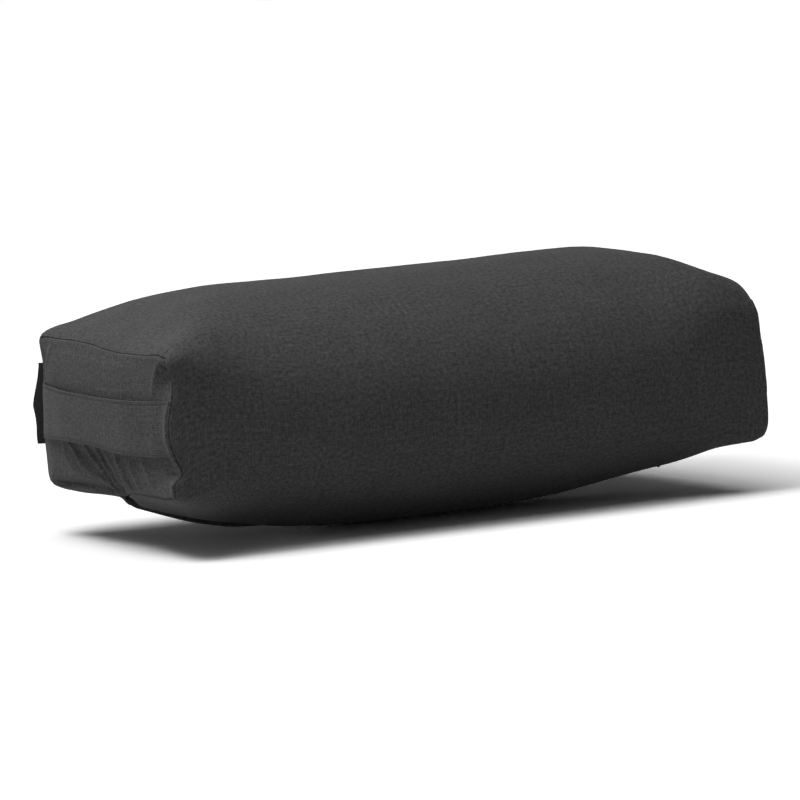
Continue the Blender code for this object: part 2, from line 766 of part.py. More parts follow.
def make_cover():
    make_wrap_panel()
    end = [(0.0, underside_at(HALF_LENGTH, 0.0, 0.0))]
    end += [outline_at(HALF_LENGTH, 0.0, cloth_share(*row)) for row in row_places()]
    make_end_panel("cover_end_panel_near", "canvas", -1, PANEL_FACE, end, CANVAS)
    make_end_panel("cover_end_panel_far", "canvas", 1, PANEL_FACE, end, CANVAS)
    make_strap("handle_strap_near", -1)
    make_strap("handle_strap_far", 1)
    make_label()


def make_zip():
    make_tape("zip_tape_left", 1)
    make_tape("zip_tape_right", -1)
    make_teeth("zip_teeth_left", 1, LEFT_STAGGER_SHARE)
    make_teeth("zip_teeth_right", -1, RIGHT_STAGGER_SHARE)
    make_stops()
    make_slider()
    make_pull()


PIECES, CUTTERS = start()
make_cover()
make_zip()
make_liner()
make_fill()
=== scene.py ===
import math

import bpy
import numpy as np
from mathutils import Matrix, Vector, noise


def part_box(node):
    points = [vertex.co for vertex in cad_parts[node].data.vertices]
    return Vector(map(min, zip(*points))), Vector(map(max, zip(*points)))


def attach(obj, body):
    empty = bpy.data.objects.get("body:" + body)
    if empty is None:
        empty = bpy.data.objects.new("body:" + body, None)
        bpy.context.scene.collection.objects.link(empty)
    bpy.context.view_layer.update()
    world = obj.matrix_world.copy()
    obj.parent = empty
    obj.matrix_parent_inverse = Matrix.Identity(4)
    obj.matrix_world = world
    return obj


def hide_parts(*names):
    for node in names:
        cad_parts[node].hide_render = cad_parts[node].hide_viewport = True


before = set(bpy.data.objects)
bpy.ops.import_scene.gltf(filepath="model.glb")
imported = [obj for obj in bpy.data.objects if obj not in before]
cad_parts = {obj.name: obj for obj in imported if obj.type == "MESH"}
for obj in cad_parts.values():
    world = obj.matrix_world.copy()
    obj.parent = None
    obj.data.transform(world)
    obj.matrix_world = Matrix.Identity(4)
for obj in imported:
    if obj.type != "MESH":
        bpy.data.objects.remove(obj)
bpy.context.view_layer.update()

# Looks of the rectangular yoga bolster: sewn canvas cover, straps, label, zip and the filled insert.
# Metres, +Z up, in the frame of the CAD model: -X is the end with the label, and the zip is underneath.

ENDS = ((-1, "near"), (1, "far"))

# The cover's form, as in the CAD model
HALF_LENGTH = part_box("cover_wrap_panel")[1].x
HALF_WIDTH = 0.157
HALF_HEIGHT = 0.0715
SIDE_SWELL = 0.0087
TOP_SWELL = 0.0484
BELLY_SWELL = 0.0500
SIDE_POWER = 2.84
TOP_POWER = 6.25
BELLY_POWER = 2.8
MIDDLE_SQUARENESS = 2.02
END_SQUARENESS = 11.2
SQUARENESS_POWER = 9.2
FLOOR_FLAT = 0.0005
EQUATOR = HALF_HEIGHT + BELLY_SWELL - FLOOR_FLAT
END_LOW = EQUATOR - HALF_HEIGHT
END_HIGH = EQUATOR + HALF_HEIGHT
PANEL_FACE = HALF_LENGTH + 0.0014
PANEL_BULGE = 0.006
CANVAS = 0.0010

# Zip channel, hems and chain
CHANNEL_HALF = 0.0076
HEM_WIDTH = 0.0095
HEM_ROUND = 0.0014
TAPE_THICK = 0.0006
TAPE_INNER = 0.0034
TAPE_OUTER = 0.0154
TAPE_SPREAD = 0.0022
CHAIN_RISE = 0.0475
CHAIN_LOW = 0.0070
CHAIN_RADIUS = (HALF_LENGTH**2 + CHAIN_RISE**2) / (2 * CHAIN_RISE)

# Straps, label and thread
STRAP_WIDTH = 0.051
STRAP_THICK = 0.0020
STRAP_SLACK = 0.0052
STRAP_GAP = 0.0004
STRAP_REACH = HALF_WIDTH - 0.0012
STITCH_LINE = STRAP_WIDTH / 2 - 0.0026
LABEL_HEIGHT = 0.077
LABEL_MIDDLE = EQUATOR + 0.0068
LABEL_REACH = 0.0112
LABEL_PLY = 0.0006
LABEL_GAP = 0.0012
THREAD = 0.00028
STITCH_PITCH = 0.0031
STITCH_LENGTH = 0.78 * STITCH_PITCH

# The insert's layers: distance inside the cover, height over the zip, thickness and waviness
END_SPACE = 0.022
ZIP_CLEAR = 0.024
LINER = (0.0042, 0.0036, 0.0006, 0.0004)
OUTER_BATTING = (0.0075, 0.0072, 0.026, 0.0010)
INNER_BATTING = (0.0350, 0.0320, 0.020, 0.0010)
CORE_ROUND = 0.012
CORE_UNEVEN = 0.0008

# Grids: rows of the wrap above a hem, points in a hem, rows over which waves die out beside it,
# and lines of a panel that lie deep in the seam
WRAP_ROWS = 126
HEM_COUNT = 10
HEM_CALM = 6
SEAM_TURN = 5

# Profiles of the sewn edges, from deep in the seam outwards: distance from the corner, and depth
# below the face. The wrap's edge curls over the end panel's.
WRAP_SEAM = (
    (0.0054, 0.0040), (0.0044, 0.0032), (0.0034, 0.0024), (0.0024, 0.0016), (0.0017, 0.0009),
    (0.0013, 0.00035), (0.0017, 0.00010), (0.0028, 0.0), (0.0044, 0.0), (0.0064, 0.0),
)
PANEL_SEAM = (
    (0.0042, 0.0064), (0.0038, 0.0050), (0.0034, 0.0037), (0.0030, 0.0026), (0.0026, 0.0016),
    (0.0024, 0.0009), (0.0026, 0.0004), (0.0031, 0.0001), (0.0044, 0.0),
)

# How far a seam's wander spreads over the cloth: from the level seams, and from the upright ones
LEVEL_SPREAD = 0.018
UPRIGHT_SPREAD = 0.020

# Sagging at the near end's zip: of the whole lip, and of its very end
LIP_SAG = 0.0042
LIP_DROP = 0.0046

# Folds from the corners: end, side, up or down, height, slope
CORNER_FOLDS = (
    (-1, -1, 1, 0.0016, 0.495),
    (-1, 1, 1, 0.0012, 0.605),
    (-1, -1, -1, 0.0014, 0.44),
    (1, -1, 1, 0.0018, 0.385),
    (1, -1, -1, 0.0016, 0.55),
    (1, 1, 1, 0.0012, 0.495),
    (1, 1, -1, 0.0012, 0.495),
    (-1, 1, -1, 0.0012, 0.495),
)

# Dents and bumps in the wrap at the far end's upper front corner: place along X and Z, radius, height
FAR_DENTS = (
    (0.2905, 0.1860, 0.0065, -0.0017),
    (0.2950, 0.1705, 0.0060, 0.0012),
    (0.2975, 0.1555, 0.0065, -0.0015),
    (0.2620, 0.1900, 0.0160, 0.0012),
)

# The crest over the turned-under lower edge of the near end panel, as (y, z)
LOW_FOLD = ((0.1378, 0.0612), (0.1107, 0.0614), (0.0730, 0.0668), (0.0404, 0.0685), (0.0166, 0.0610))

# Ridges of cloth gathered at the end of the zip on the near end panel: height, width, and the crest as (y, z)
GATHERS = (
    (0.00234, 0.0036, ((0.093, 0.0887), (0.088, 0.0769), (0.073, 0.069), (0.052, 0.0677))),
    (0.00598, 0.0025, ((0.0777, 0.0951), (0.064, 0.0867), (0.0528, 0.0767), (0.0363, 0.071),
                       (0.0172, 0.0667), (0.0082, 0.0617), (0.0013, 0.0496))),
    (0.00650, 0.0025, ((0.0411, 0.0962), (0.0317, 0.0876), (0.0185, 0.0805), (0.0068, 0.0725),
                       (0.004, 0.0634), (0.0013, 0.0496))),
    (0.00676, 0.0025, ((0.0113, 0.0975), (0.0028, 0.0875), (-0.0069, 0.0782), (-0.014, 0.0693),
                       (-0.0035, 0.0507))),
    (0.00312, 0.0025, ((-0.0047, 0.0953), (-0.0179, 0.0856), (-0.0281, 0.0744), (-0.0294, 0.0555))),
    (0.00546, 0.0028, ((-0.0362, 0.0921), (-0.0424, 0.0821), (-0.0505, 0.0721), (-0.0533, 0.0618),
                       (-0.0521, 0.0563))),
    (0.00234, 0.0034, ((-0.0644, 0.0822), (-0.0721, 0.0698), (-0.0732, 0.0594))),
    (0.00286, 0.0040, ((-0.0899, 0.0878), (-0.0993, 0.0781), (-0.1059, 0.0657))),
    (0.00520, 0.0046, LOW_FOLD),
)

# The crease beside the upper front corner of the near end panel, as (y, z)
PINCH = ((-0.1303, 0.1839), (-0.1375, 0.1802), (-0.1456, 0.1757), (-0.1526, 0.1711), (-0.1555, 0.1650))

# Camera, fitted to the photograph's outline
CAMERA_DISTANCE = 4.5
CAMERA_AZIMUTH = math.radians(26.25)
CAMERA_ELEVATION = math.radians(5.40)
CAMERA_ROLL = math.radians(3.62)
CAMERA_TARGET = Vector((0, 0, 0.1045))
CAMERA_LENS = 212.8
PICTURE = 800
PIXEL_SHIFT = (2.3, 5.6)

# Half the floor's width. One level says how much light the floor bounces, and one how white it looks
FLOOR_HALF = 60.0
FLOOR_BOUNCE = 0.68
FLOOR_SEEN = 1.16

# Level of the light from all round. A white surface that faces a lamp of level 1 renders white
SKY = 0.06

# Far lamps: name, direction towards the lamp, level, width in degrees
SUNS = (
    ("overhead", (-0.12, -0.06, 0.98), 0.39, 60.0),
    ("key", (-0.42, -0.06, 0.90), 0.09, 40.0),
    ("side_fill", (-0.62, 0.78, 0.05), 0.25, 12.0),
    ("front_fill", (-0.10, -0.99, 0.04), 0.03, 8.0),
)
SOFTBOX_PLACE = Vector((-0.80, -0.12, 1.42))
SOFTBOX_AWAY = SOFTBOX_PLACE - Vector((-0.20, 0.0, 0.20))
SOFTBOX_SIZE = 0.7
SOFTBOX_LEVEL = 0.55


def ease(value):
    """Smooth step from 0 to 1."""
    value = np.clip(value, 0.0, 1.0)
    return value * value * (3 - 2 * value)


def bell(value):
    """A smooth bump, 1 in its middle."""
    return np.exp(-(value**2))


def fade(distance, reach):
    """1 up to distance 0, and dying away over a reach beyond it."""
    return np.exp(-np.maximum(distance, 0) / reach)


def soften(values, reach):
    """A row of values, each blended with its neighbours within a reach."""
    window = np.hanning(2 * reach + 3)
    return np.convolve(np.pad(values, reach + 1, mode="edge"), window / window.sum(), mode="valid")


def curve_through(smoothing, *points):
    """A smooth function through chosen (place, value) pairs, softened over a length."""
    places, values = np.transpose(points)
    fine = np.linspace(places[0], places[-1], 400)
    reach = max(int(smoothing / (fine[1] - fine[0])), 1)
    soft = soften(np.interp(fine, places, values), reach)
    return lambda at: np.interp(at, fine, soft)


def ripple(u, v, seed):
    """Seeded smooth noise on two coordinates."""
    u, v = np.broadcast_arrays(u, v)
    flat = [noise.noise(Vector((a, b, seed))) for a, b in zip(u.ravel(), v.ravel())]
    return np.reshape(flat, u.shape)


def points_of(*values):
    """Points from their coordinates, each given for a whole grid or for one of its ways."""
    return np.stack(np.broadcast_arrays(*values), axis=-1)


def mirrored(half, sign=1, closed=False):
    """Values along a half outline and on along its mirror image; a closed one ends where it starts."""
    other = sign * half[-2::-1]
    return np.concatenate((half, other[:-1], half[:1]) if closed else (half, other))


def both_ways(right):
    """Places from the right side to 0, as a rising row from the left side to the right."""
    return np.array([-v for v in right[:-1]] + right[::-1])


# How the seams wander from straight lines: place along the seam, and shift. Positive moves in, or up
NEAR_FRONT_SEAM = curve_through(
    0.003,
    (0.0495, 0.0), (0.0582, -0.0008), (0.0705, -0.0028), (0.0744, -0.0010), (0.0765, 0.0048),
    (0.0807, 0.0068), (0.0859, 0.0058), (0.0945, 0.0006), (0.1056, -0.0024), (0.1103, -0.0045),
    (0.1274, -0.0044), (0.1379, -0.0020), (0.1532, 0.0021), (0.1640, 0.0021), (0.1704, 0.0),
    (0.1768, -0.0013), (0.1840, 0.0), (0.1925, 0.0),
)
NEAR_BACK_SEAM = curve_through(
    0.008,
    (0.0495, 0.0030), (0.062, 0.0036), (0.075, 0.0034), (0.0955, 0.0022), (0.120, 0.0042),
    (0.165, 0.0062), (0.178, 0.0040), (0.1925, -0.0010),
)
FAR_FRONT_SEAM = curve_through(
    0.008,
    (0.0495, -0.0036), (0.065, -0.0044), (0.100, -0.0034), (0.125, -0.0022), (0.150, -0.0002),
    (0.172, 0.0010), (0.1925, 0.0036),
)
NEAR_TOP_SEAM = curve_through(
    0.008,
    (-0.157, 0.0), (-0.150, -0.0010), (-0.145, -0.0030), (-0.130, -0.0028), (-0.107, -0.0055),
    (-0.042, -0.0062), (-0.010, -0.0040), (0.023, -0.0007), (0.066, 0.0011), (0.110, 0.0008),
    (0.140, 0.0034), (0.157, 0.0060),
)
FAR_TOP_SEAM = curve_through(
    0.006,
    (-0.157, -0.0085), (-0.1537, -0.0075), (-0.147, -0.0036), (-0.140, -0.0004), (-0.126, 0.0026),
    (-0.100, 0.0014), (-0.050, 0.0), (0.050, 0.0012), (0.120, -0.0012), (0.157, -0.0040),
)
NEAR_LOW_SEAM = curve_through(
    0.006,
    (-0.157, 0.0010), (-0.145, 0.0050), (-0.110, 0.0068), (-0.052, 0.0058), (-0.030, 0.0040),
    (0.000, -0.0024), (0.020, -0.0036), (0.060, -0.0030), (0.100, -0.0004), (0.125, -0.0002),
    (0.140, -0.0012), (0.157, -0.0034),
)
FAR_LOW_SEAM = curve_through(
    0.010,
    (-0.157, -0.002), (-0.15, -0.0018), (-0.137, 0.0008), (-0.1, 0.004), (0.1, 0.004), (0.15, 0.002),
    (0.157, 0.0),
)
NEAR_LOW_PULL = curve_through(
    0.010,
    (-0.157, 0.0), (-0.110, 0.0005), (-0.060, 0.0020), (-0.030, 0.0080), (-0.010, 0.0140),
    (0.004, 0.0166), (0.030, 0.0170), (0.070, 0.0140), (0.110, 0.0080), (0.140, 0.0010), (0.157, -0.0010),
)

# How far the filling has settled under the top, along X
CROWN_SETTLING = curve_through(
    0.010,
    (-0.306, 0.0), (-0.280, -0.0058), (-0.262, -0.0046), (-0.245, -0.0028), (-0.190, -0.0032),
    (-0.150, -0.0046), (-0.050, -0.0046), (0.030, -0.0040), (0.080, -0.0032), (0.120, -0.0020),
    (0.190, 0.0008), (0.220, 0.0026), (0.250, 0.0034), (0.275, -0.0020), (0.290, -0.0016), (0.306, 0.0),
)

# How far the near strap's long edges drift from straight, along Y, and how the label bows along its height
STRAP_TOP_DRIFT = curve_through(
    0.02,
    (-0.160, 0.0013), (-0.099, -0.0014), (-0.035, -0.0018), (0.048, -0.0007), (0.147, 0.0025),
    (0.160, 0.0026),
)
STRAP_LOW_DRIFT = curve_through(
    0.02,
    (-0.160, 0.0012), (-0.091, -0.0014), (-0.043, 0.0), (0.0, 0.0026), (0.073, 0.0034), (0.153, -0.0004),
)
LABEL_BOW = curve_through(
    0.12,
    (-1, -0.0024), (-0.6, -0.0022), (-0.3, -0.0004), (-0.05, 0.0026), (0.2, 0.0010), (0.6, -0.0024),
    (1, -0.0048),
)


def section(x):
    """Half width, height above and below the equator, and squareness of the filled cover at x."""
    along = min(abs(x) / HALF_LENGTH, 1.0)
    half_width = HALF_WIDTH + SIDE_SWELL * (1 - along**SIDE_POWER)
    above = HALF_HEIGHT + TOP_SWELL * (1 - along**TOP_POWER)
    below = HALF_HEIGHT + BELLY_SWELL * (1 - along**BELLY_POWER)
    squareness = MIDDLE_SQUARENESS + (END_SQUARENESS - MIDDLE_SQUARENESS) * along**SQUARENESS_POWER
    return half_width, above, below, squareness


def half_outline(x, inset):
    """The +Y half of the section, bottom centre to top centre, with lengths as shares."""
    half_width, above, below, squareness = section(x)
    turn = np.linspace(-math.pi / 2, math.pi / 2, 601)
    across, up = np.abs(np.cos(turn)), np.sin(turn)
    reach = (across**squareness + np.abs(up) ** squareness) ** (-1 / squareness)
    y = (half_width - inset) * reach * across
    z = EQUATOR + np.where(up >= 0, above - inset, below - inset) * reach * up
    share = np.concatenate(([0.0], np.cumsum(np.hypot(np.diff(y), np.diff(z)))))
    return y, np.maximum(z, 0.0), share / share[-1]


def rim_points(shares):
    """The end's rim as (y, z) at shares of the half outline."""
    y, z, share = half_outline(HALF_LENGTH, 0.0)
    return np.interp(shares, share, y), np.interp(shares, share, z)


def chain_height(x):
    """Height of the middle of the zip's chain, which is bowed with the belly."""
    return CHAIN_LOW + CHAIN_RADIUS - np.sqrt(CHAIN_RADIUS**2 - np.asarray(x) ** 2)


def rim_shift(end, y, z):
    """How far the sewn rim of an end wanders along X and Z, spread over the panel near each seam."""
    near_top = bell((END_HIGH - z) / LEVEL_SPREAD)
    near_low = bell((z - END_LOW) / LEVEL_SPREAD)
    near_front = bell((y + HALF_WIDTH) / UPRIGHT_SPREAD)
    near_back = bell((HALF_WIDTH - y) / UPRIGHT_SPREAD)
    if end < 0:
        inwards = NEAR_FRONT_SEAM(z) * near_front + NEAR_BACK_SEAM(z) * near_back
        inwards += NEAR_LOW_PULL(y) * near_low
        rise = NEAR_TOP_SEAM(y) * near_top + NEAR_LOW_SEAM(y) * near_low
    else:
        inwards = FAR_FRONT_SEAM(z) * near_front + 0.4 * NEAR_BACK_SEAM(z) * near_back
        inwards += 0.002 * near_low
        rise = FAR_TOP_SEAM(y) * near_top + FAR_LOW_SEAM(y) * near_low
    return -end * inwards, rise


def corner_pull(y, z):
    """How far the near end's upper front corner is drawn out to the front."""
    return 0.0034 * bell(np.hypot(y + 0.150, z - 0.187) / 0.012)


def lip_shift(x, y, z):
    """At the near end the underside's far half hangs lower than its near half, most at the seam."""
    off_lip = np.abs(y) - CHANNEL_HALF
    along = ease((-0.130 - x) / 0.060) * ease((x + 0.300) / 0.085)
    sag = LIP_SAG * along * fade(off_lip, 0.022)
    drop = LIP_DROP * bell((x + 0.300) / 0.010) * ease((x + PANEL_FACE) / 0.005) * fade(off_lip, 0.008)
    return np.where(y > 0, -(sag + drop), 0.24 * sag) * (z < EQUATOR - 0.02)


def settle(places, rims):
    """Moves a layer with the wandering seams, the settled filling and the zip's uneven lips."""
    x, y, z = np.moveaxis(places.copy(), 2, 0)
    rim_y, rim_z = rims[:, 0], rims[:, 1]
    seam_reach = 0.046 - 0.014 * bell((rim_z - END_LOW) / LEVEL_SPREAD)
    for end, _ in ENDS:
        distance = PANEL_FACE - end * x
        shift_x, shift_z = rim_shift(end, rim_y, rim_z)
        places[..., 0] += shift_x * ease(1 - distance / seam_reach)
        places[..., 2] += shift_z * ease(1 - distance / 0.075)
    places[..., 1] -= corner_pull(rim_y, rim_z) * ease(1 - (PANEL_FACE + x) / 0.030)
    near_hollow = bell((x + 0.274) / 0.025) * bell((y - 0.056) / 0.046) * ease((y - 0.004) / 0.02)
    far_hollow = bell((x - 0.270) / 0.022) * ease((-y - 0.02) / 0.05)
    places[..., 2] += CROWN_SETTLING(x) * ease((z - EQUATOR) / 0.10) + lip_shift(x, y, z)
    places[..., 2] += 0.0125 * near_hollow * ease((EQUATOR - 0.03 - z) / 0.03)
    places[..., 2] += 0.0032 * far_hollow * (z < EQUATOR - 0.04)
    return places


def pucker(along, seed):
    """Height of the small puckers that the needle leaves, along a seam."""
    return ripple(along / 0.0085, seed, seed) + 0.6 * ripple(along / 0.021, 0.0, seed + 7)


def sewn_lines(half, profile, inner):
    """Grid lines from seam to seam, and their depth there: a profile at both ends, and inner places."""
    right = [half - step for step, _ in profile] + inner
    deep = [depth for _, depth in profile] + [0.0] * len(inner)
    return both_ways(right), np.array(deep[:-1] + deep[::-1])


def stations():
    """Places along X: fine in the seams at both ends, coarser between."""
    near = list(np.arange(PANEL_FACE - 0.0085, PANEL_FACE - 0.060, -0.0021))
    middle = list(np.linspace(near[-1] - 0.003, 0.0, 72))
    return sewn_lines(PANEL_FACE, WRAP_SEAM, near + middle)


def hem_points(x, under):
    """The turned hem beside the zip as (y, z): from its hidden edge, round the fold, to the underside."""
    top = chain_height(x) - TAPE_THICK / 2 - 0.0004
    low = max(np.interp(CHANNEL_HALF + HEM_ROUND, *under), 0.0)
    turn = np.radians((10, 35, 60, 80))
    off = (HEM_WIDTH, HEM_WIDTH / 2, 0.0010, 0.0003, 0.0, 0.0, *HEM_ROUND * (1 - np.cos(turn)))
    up = (top, top, top, top - 0.0003, top - 0.0010, (top + low) / 2, *low + HEM_ROUND * (1 - np.sin(turn)))
    return CHANNEL_HALF + np.array(off), np.array(up)


def wrap_grid():
    """The wrap panel's outer face over stations and rows, with places round the girth and on the rim."""
    places, girths, rims = [], [], []
    for x, inset in zip(*stations()):
        y, z, share = half_outline(x, inset)
        half_girth = float(np.sum(np.hypot(np.diff(y), np.diff(z))))
        under = share < 0.3
        start = float(np.interp(CHANNEL_HALF + 1.3 * HEM_ROUND, y[under], share[under]))
        rows = start + (1 - start) * np.linspace(0, 1, WRAP_ROWS)
        shares = np.concatenate((np.linspace(start - 0.03, start - 0.002, HEM_COUNT), rows))
        hem_y, hem_z = hem_points(x, (y[under], z[under]))
        whole_y = mirrored(np.concatenate((hem_y, np.interp(rows, share, y))), -1)
        whole_z = mirrored(np.concatenate((hem_z, np.interp(rows, share, z))))
        rim_y, rim_z = rim_points(shares)
        places.append(points_of(x, whole_y, whole_z))
        girths.append(mirrored((1 - shares) * half_girth, -1))
        rims.append((mirrored(rim_y, -1), mirrored(rim_z)))
    return np.array(places), np.array(girths), np.array(rims)


def grid_normals(places):
    """Outward normals of a grid of points."""
    normal = np.cross(np.gradient(places, axis=1), np.gradient(places, axis=0))
    length = np.linalg.norm(normal, axis=2, keepdims=True)
    return normal / np.maximum(length, 1e-12)


def shape_wrap():
    """The wrap panel with its seams' wander, puckers, soft undulations and the zip's uneven lips."""
    places, girths, rims = wrap_grid()
    x, y, z = np.moveaxis(places.copy(), 2, 0)
    normal = grid_normals(places)
    off_hem = np.pad(np.ones(places.shape[1] - 2 * HEM_COUNT), HEM_COUNT + HEM_CALM)
    calm = np.full(2 * HEM_CALM + 1, 1 / (2 * HEM_CALM + 1))
    loose = np.convolve(off_hem, calm, mode="valid") * ease((z - 0.004) / 0.03)
    settle(places, rims)

    height = np.zeros(x.shape)
    for end, _ in ENDS:
        distance = PANEL_FACE - end * x
        pinch = fade(distance - 0.004, 0.011) * ease(distance / 0.005)
        height += 0.00060 * pucker(girths, 3.0 + end) * pinch
        height += 0.0019 * (1 - fade(distance, 0.006)) * fade(distance, 0.026)

    waves = ripple(x / 0.16, girths / 0.036, 11.0) * 0.00075 * (0.35 + 0.65 * ease((z - EQUATOR) / 0.05))
    waves += ripple(x / 0.07, girths / 0.085, 5.0) * 0.0009
    waves += ripple(x / 0.024, girths / 0.030, 8.0) * 0.00022
    height += waves * ease((PANEL_FACE - np.abs(x)) / 0.03)
    places += normal * (height * loose + corner_waves(x, y, z))[..., None]
    return places, girths


def corner_waves(x, y, z):
    """Height of the soft folds that run from each end's corners into the long sides and the top."""
    out = np.zeros(x.shape)
    for end, side, level, height, slope in CORNER_FOLDS:
        distance = PANEL_FACE - end * x
        drop = np.abs(z - (EQUATOR + level * HALF_HEIGHT))
        ridge = bell((drop - slope * distance) / 0.011) * ease(distance / 0.012) * ease(1 - distance / 0.085)
        out += height * ridge * bell((y - side * HALF_WIDTH) / 0.03)
    front = ease((-y - 0.10) / 0.03)
    for at_x, at_z, reach, height in FAR_DENTS:
        out += height * bell(np.hypot(x - at_x, z - at_z) / reach) * front
    rise = 0.0455 + 0.0175 * np.clip((x - 0.225) / 0.070, 0, 1)
    crease = bell((z - rise) / 0.0034) * ease((x - 0.215) / 0.03) * ease((0.300 - x) / 0.012)
    return out + 0.0011 * crease * front


def ridge_along(y, z, crest, width):
    """Closeness to a crest that bends through given points, fading at both ends."""
    points = np.array(crest)
    spans = np.linalg.norm(np.diff(points, axis=0), axis=1)
    best = np.full(np.shape(y), 1e9)
    share = np.zeros(np.shape(y))
    for i, (start, span) in enumerate(zip(points, spans)):
        way = (points[i + 1] - start) / span
        along = np.clip((y - start[0]) * way[0] + (z - start[1]) * way[1], 0, span)
        apart = np.hypot(y - start[0] - along * way[0], z - start[1] - along * way[1])
        closer = apart < best
        best = np.where(closer, apart, best)
        share = np.where(closer, (spans[:i].sum() + along) / spans.sum(), share)
    fading = 0.3 + 0.7 * np.sin(math.pi * (0.12 + 0.7 * share))
    return np.exp(-np.sqrt(best**2 + 0.0006**2) / width) * fading


def gathered(y, z):
    """Relief of the cloth gathered at the near end of the zip, and turned under beside it."""
    out = sum(height * ridge_along(y, z, crest, width) for height, width, crest in GATHERS)
    middle = 0.002 + 0.9 * (z - 0.055)
    out -= 0.0050 * bell((y - middle) / 0.040) * bell((z - 0.082) / 0.020)
    fold_y, fold_z = zip(*LOW_FOLD[::-1])
    below = z - np.interp(y, fold_y, fold_z) + 0.0075
    out -= 0.0048 * bell(below / 0.0050) * ease((y - 0.012) / 0.02) * ease((0.142 - y) / 0.02)
    return out * (1 - ease((z - 0.0955) / 0.004))


def pinched(y, z):
    """Relief beside the near end panel's upper front corner: a soft crest, a hollow and a crease."""
    turn = -0.1262 - 0.56 * (z - 0.170)
    hollow = ease((turn - y) / 0.020) * bell((z - 0.170) / 0.017)
    crest = bell((y - turn - 0.001) / 0.0036) * bell((z - 0.172) / 0.014)
    return 0.0022 * crest - 0.0062 * hollow - 0.0034 * ridge_along(y, z, PINCH, 0.0018)


def panel_relief(end, y, z):
    """How far an end panel stands out from its rim plane, apart from the seams."""
    across, up = y / HALF_WIDTH, (z - EQUATOR) / HALF_HEIGHT
    out = PANEL_BULGE * (1 - across**2) * (1 - 0.8 * up**2) ** 0.8
    out += ripple(y / 0.06, z / 0.05, 21.0 + end) * 0.0010
    out += ripple(y / 0.021, z / 0.026, 27.0 + end) * 0.00035
    if end < 0:
        margin = 0.1335 - 0.022 * ease((z - 0.155) / 0.04)
        out -= 0.0034 * ease((y - margin) / 0.014) * ease((z - 0.140) / 0.02)
        out += 0.0009 * bell((y - margin) / 0.0045) * ease((z - 0.146) / 0.01)
        out -= 0.0026 * ease((-y - 0.02) / 0.12)
    else:
        fan = ripple(np.arctan2(y, z - END_LOW + 0.004) / 0.20, 0.0, 31.0) * bell((z - 0.070) / 0.020)
        out += 0.0014 * fan * bell(y / 0.08) * (1 - ease((z - 0.098) / 0.004))
    return out


def rounding(a, b, power):
    """Share by which places on a square, from -1 to 1 both ways, are drawn in to make it a superellipse."""
    largest = np.maximum(np.abs(a), np.abs(b))
    norm = (np.abs(a) ** power + np.abs(b) ** power) ** (1 / power)
    return np.where(norm > 0, largest / np.maximum(norm, 1e-9), 1.0)


def panel_lines(half, fine):
    """Places of an end panel's grid lines from one rim to the other, and their depth in the seam."""
    last = half - PANEL_SEAM[-1][0]
    count = int((last - 0.001) / fine) + 1
    return sewn_lines(half, PANEL_SEAM, list(np.linspace(last - fine, 0.0, count)))


def shape_panel(end):
    """Outer face of an end panel as a grid over its width and height, and the cloth's coordinates there."""
    half_width, above, _, squareness = section(HALF_LENGTH)
    coarse = 1.0 if end < 0 else 1.8
    lines_y, deep_y = panel_lines(half_width, 0.0012 * coarse)
    lines_z, deep_z = panel_lines(above, 0.0009 * coarse)
    a, b = np.meshgrid(lines_y / half_width, lines_z / above, indexing="ij")
    depth = np.maximum(*np.meshgrid(deep_y, deep_z, indexing="ij"))
    pull = rounding(a, b, squareness)
    y, z = a * half_width * pull, EQUATOR + b * above * pull
    rim = np.minimum(half_width * (1 - np.abs(a)), above * (1 - np.abs(b)))
    relief = panel_relief(end, y, z) * ease((rim - 0.002) / 0.016)
    if end < 0:
        relief += (gathered(y, z) + pinched(y, z)) * ease((rim - 0.0015) / 0.005)
    girth = np.where(np.abs(a) * half_width > np.abs(b) * above, z, y)
    wrinkle = 0.0005 * pucker(girth, 40.0 + end) * fade(rim - 0.004, 0.009)
    relief += wrinkle * ease((rim - 0.0024) / 0.003)
    shift_x, shift_z = rim_shift(end, y, z)
    if end < 0:
        y = y - corner_pull(y, z)
    return points_of(end * (PANEL_FACE + relief - depth) + shift_x, y, z + shift_z), points_of(y, z)


def panel_surface(end):
    """The outer face's height over the panel as a function, for what lies on it."""
    places, uv = shape_panel(end)
    open_part = slice(SEAM_TURN, -SEAM_TURN)
    lines_y = uv[open_part, uv.shape[1] // 2, 0]
    lines_z = uv[uv.shape[0] // 2, open_part, 1]
    face = places[open_part, open_part, 0] * end

    def out_at(y, z):
        i = np.clip(np.searchsorted(lines_y, y) - 1, 0, len(lines_y) - 2)
        j = np.clip(np.searchsorted(lines_z, z) - 1, 0, len(lines_z) - 2)
        s = (y - lines_y[i]) / np.maximum(lines_y[i + 1] - lines_y[i], 1e-9)
        t = (z - lines_z[j]) / np.maximum(lines_z[j + 1] - lines_z[j], 1e-9)
        low = face[i, j] * (1 - s) + face[i + 1, j] * s
        high = face[i, j + 1] * (1 - s) + face[i + 1, j + 1] * s
        return low * (1 - t) + high * t

    return out_at


def mesh_of(name, points, quads, uv):
    """A smooth mesh of quads, with one place on the cloth for each point."""
    mesh = bpy.data.meshes.new(name)
    mesh.vertices.add(len(points))
    mesh.vertices.foreach_set("co", np.ascontiguousarray(points, dtype=np.float32).ravel())
    mesh.loops.add(quads.size)
    mesh.loops.foreach_set("vertex_index", np.ascontiguousarray(quads, dtype=np.int32).ravel())
    mesh.polygons.add(len(quads))
    mesh.polygons.foreach_set("loop_start", np.arange(0, quads.size, 4, dtype=np.int32))
    mesh.update(calc_edges=True)
    add_cloth(mesh, uv[quads.ravel()])
    mesh.validate()
    return mesh


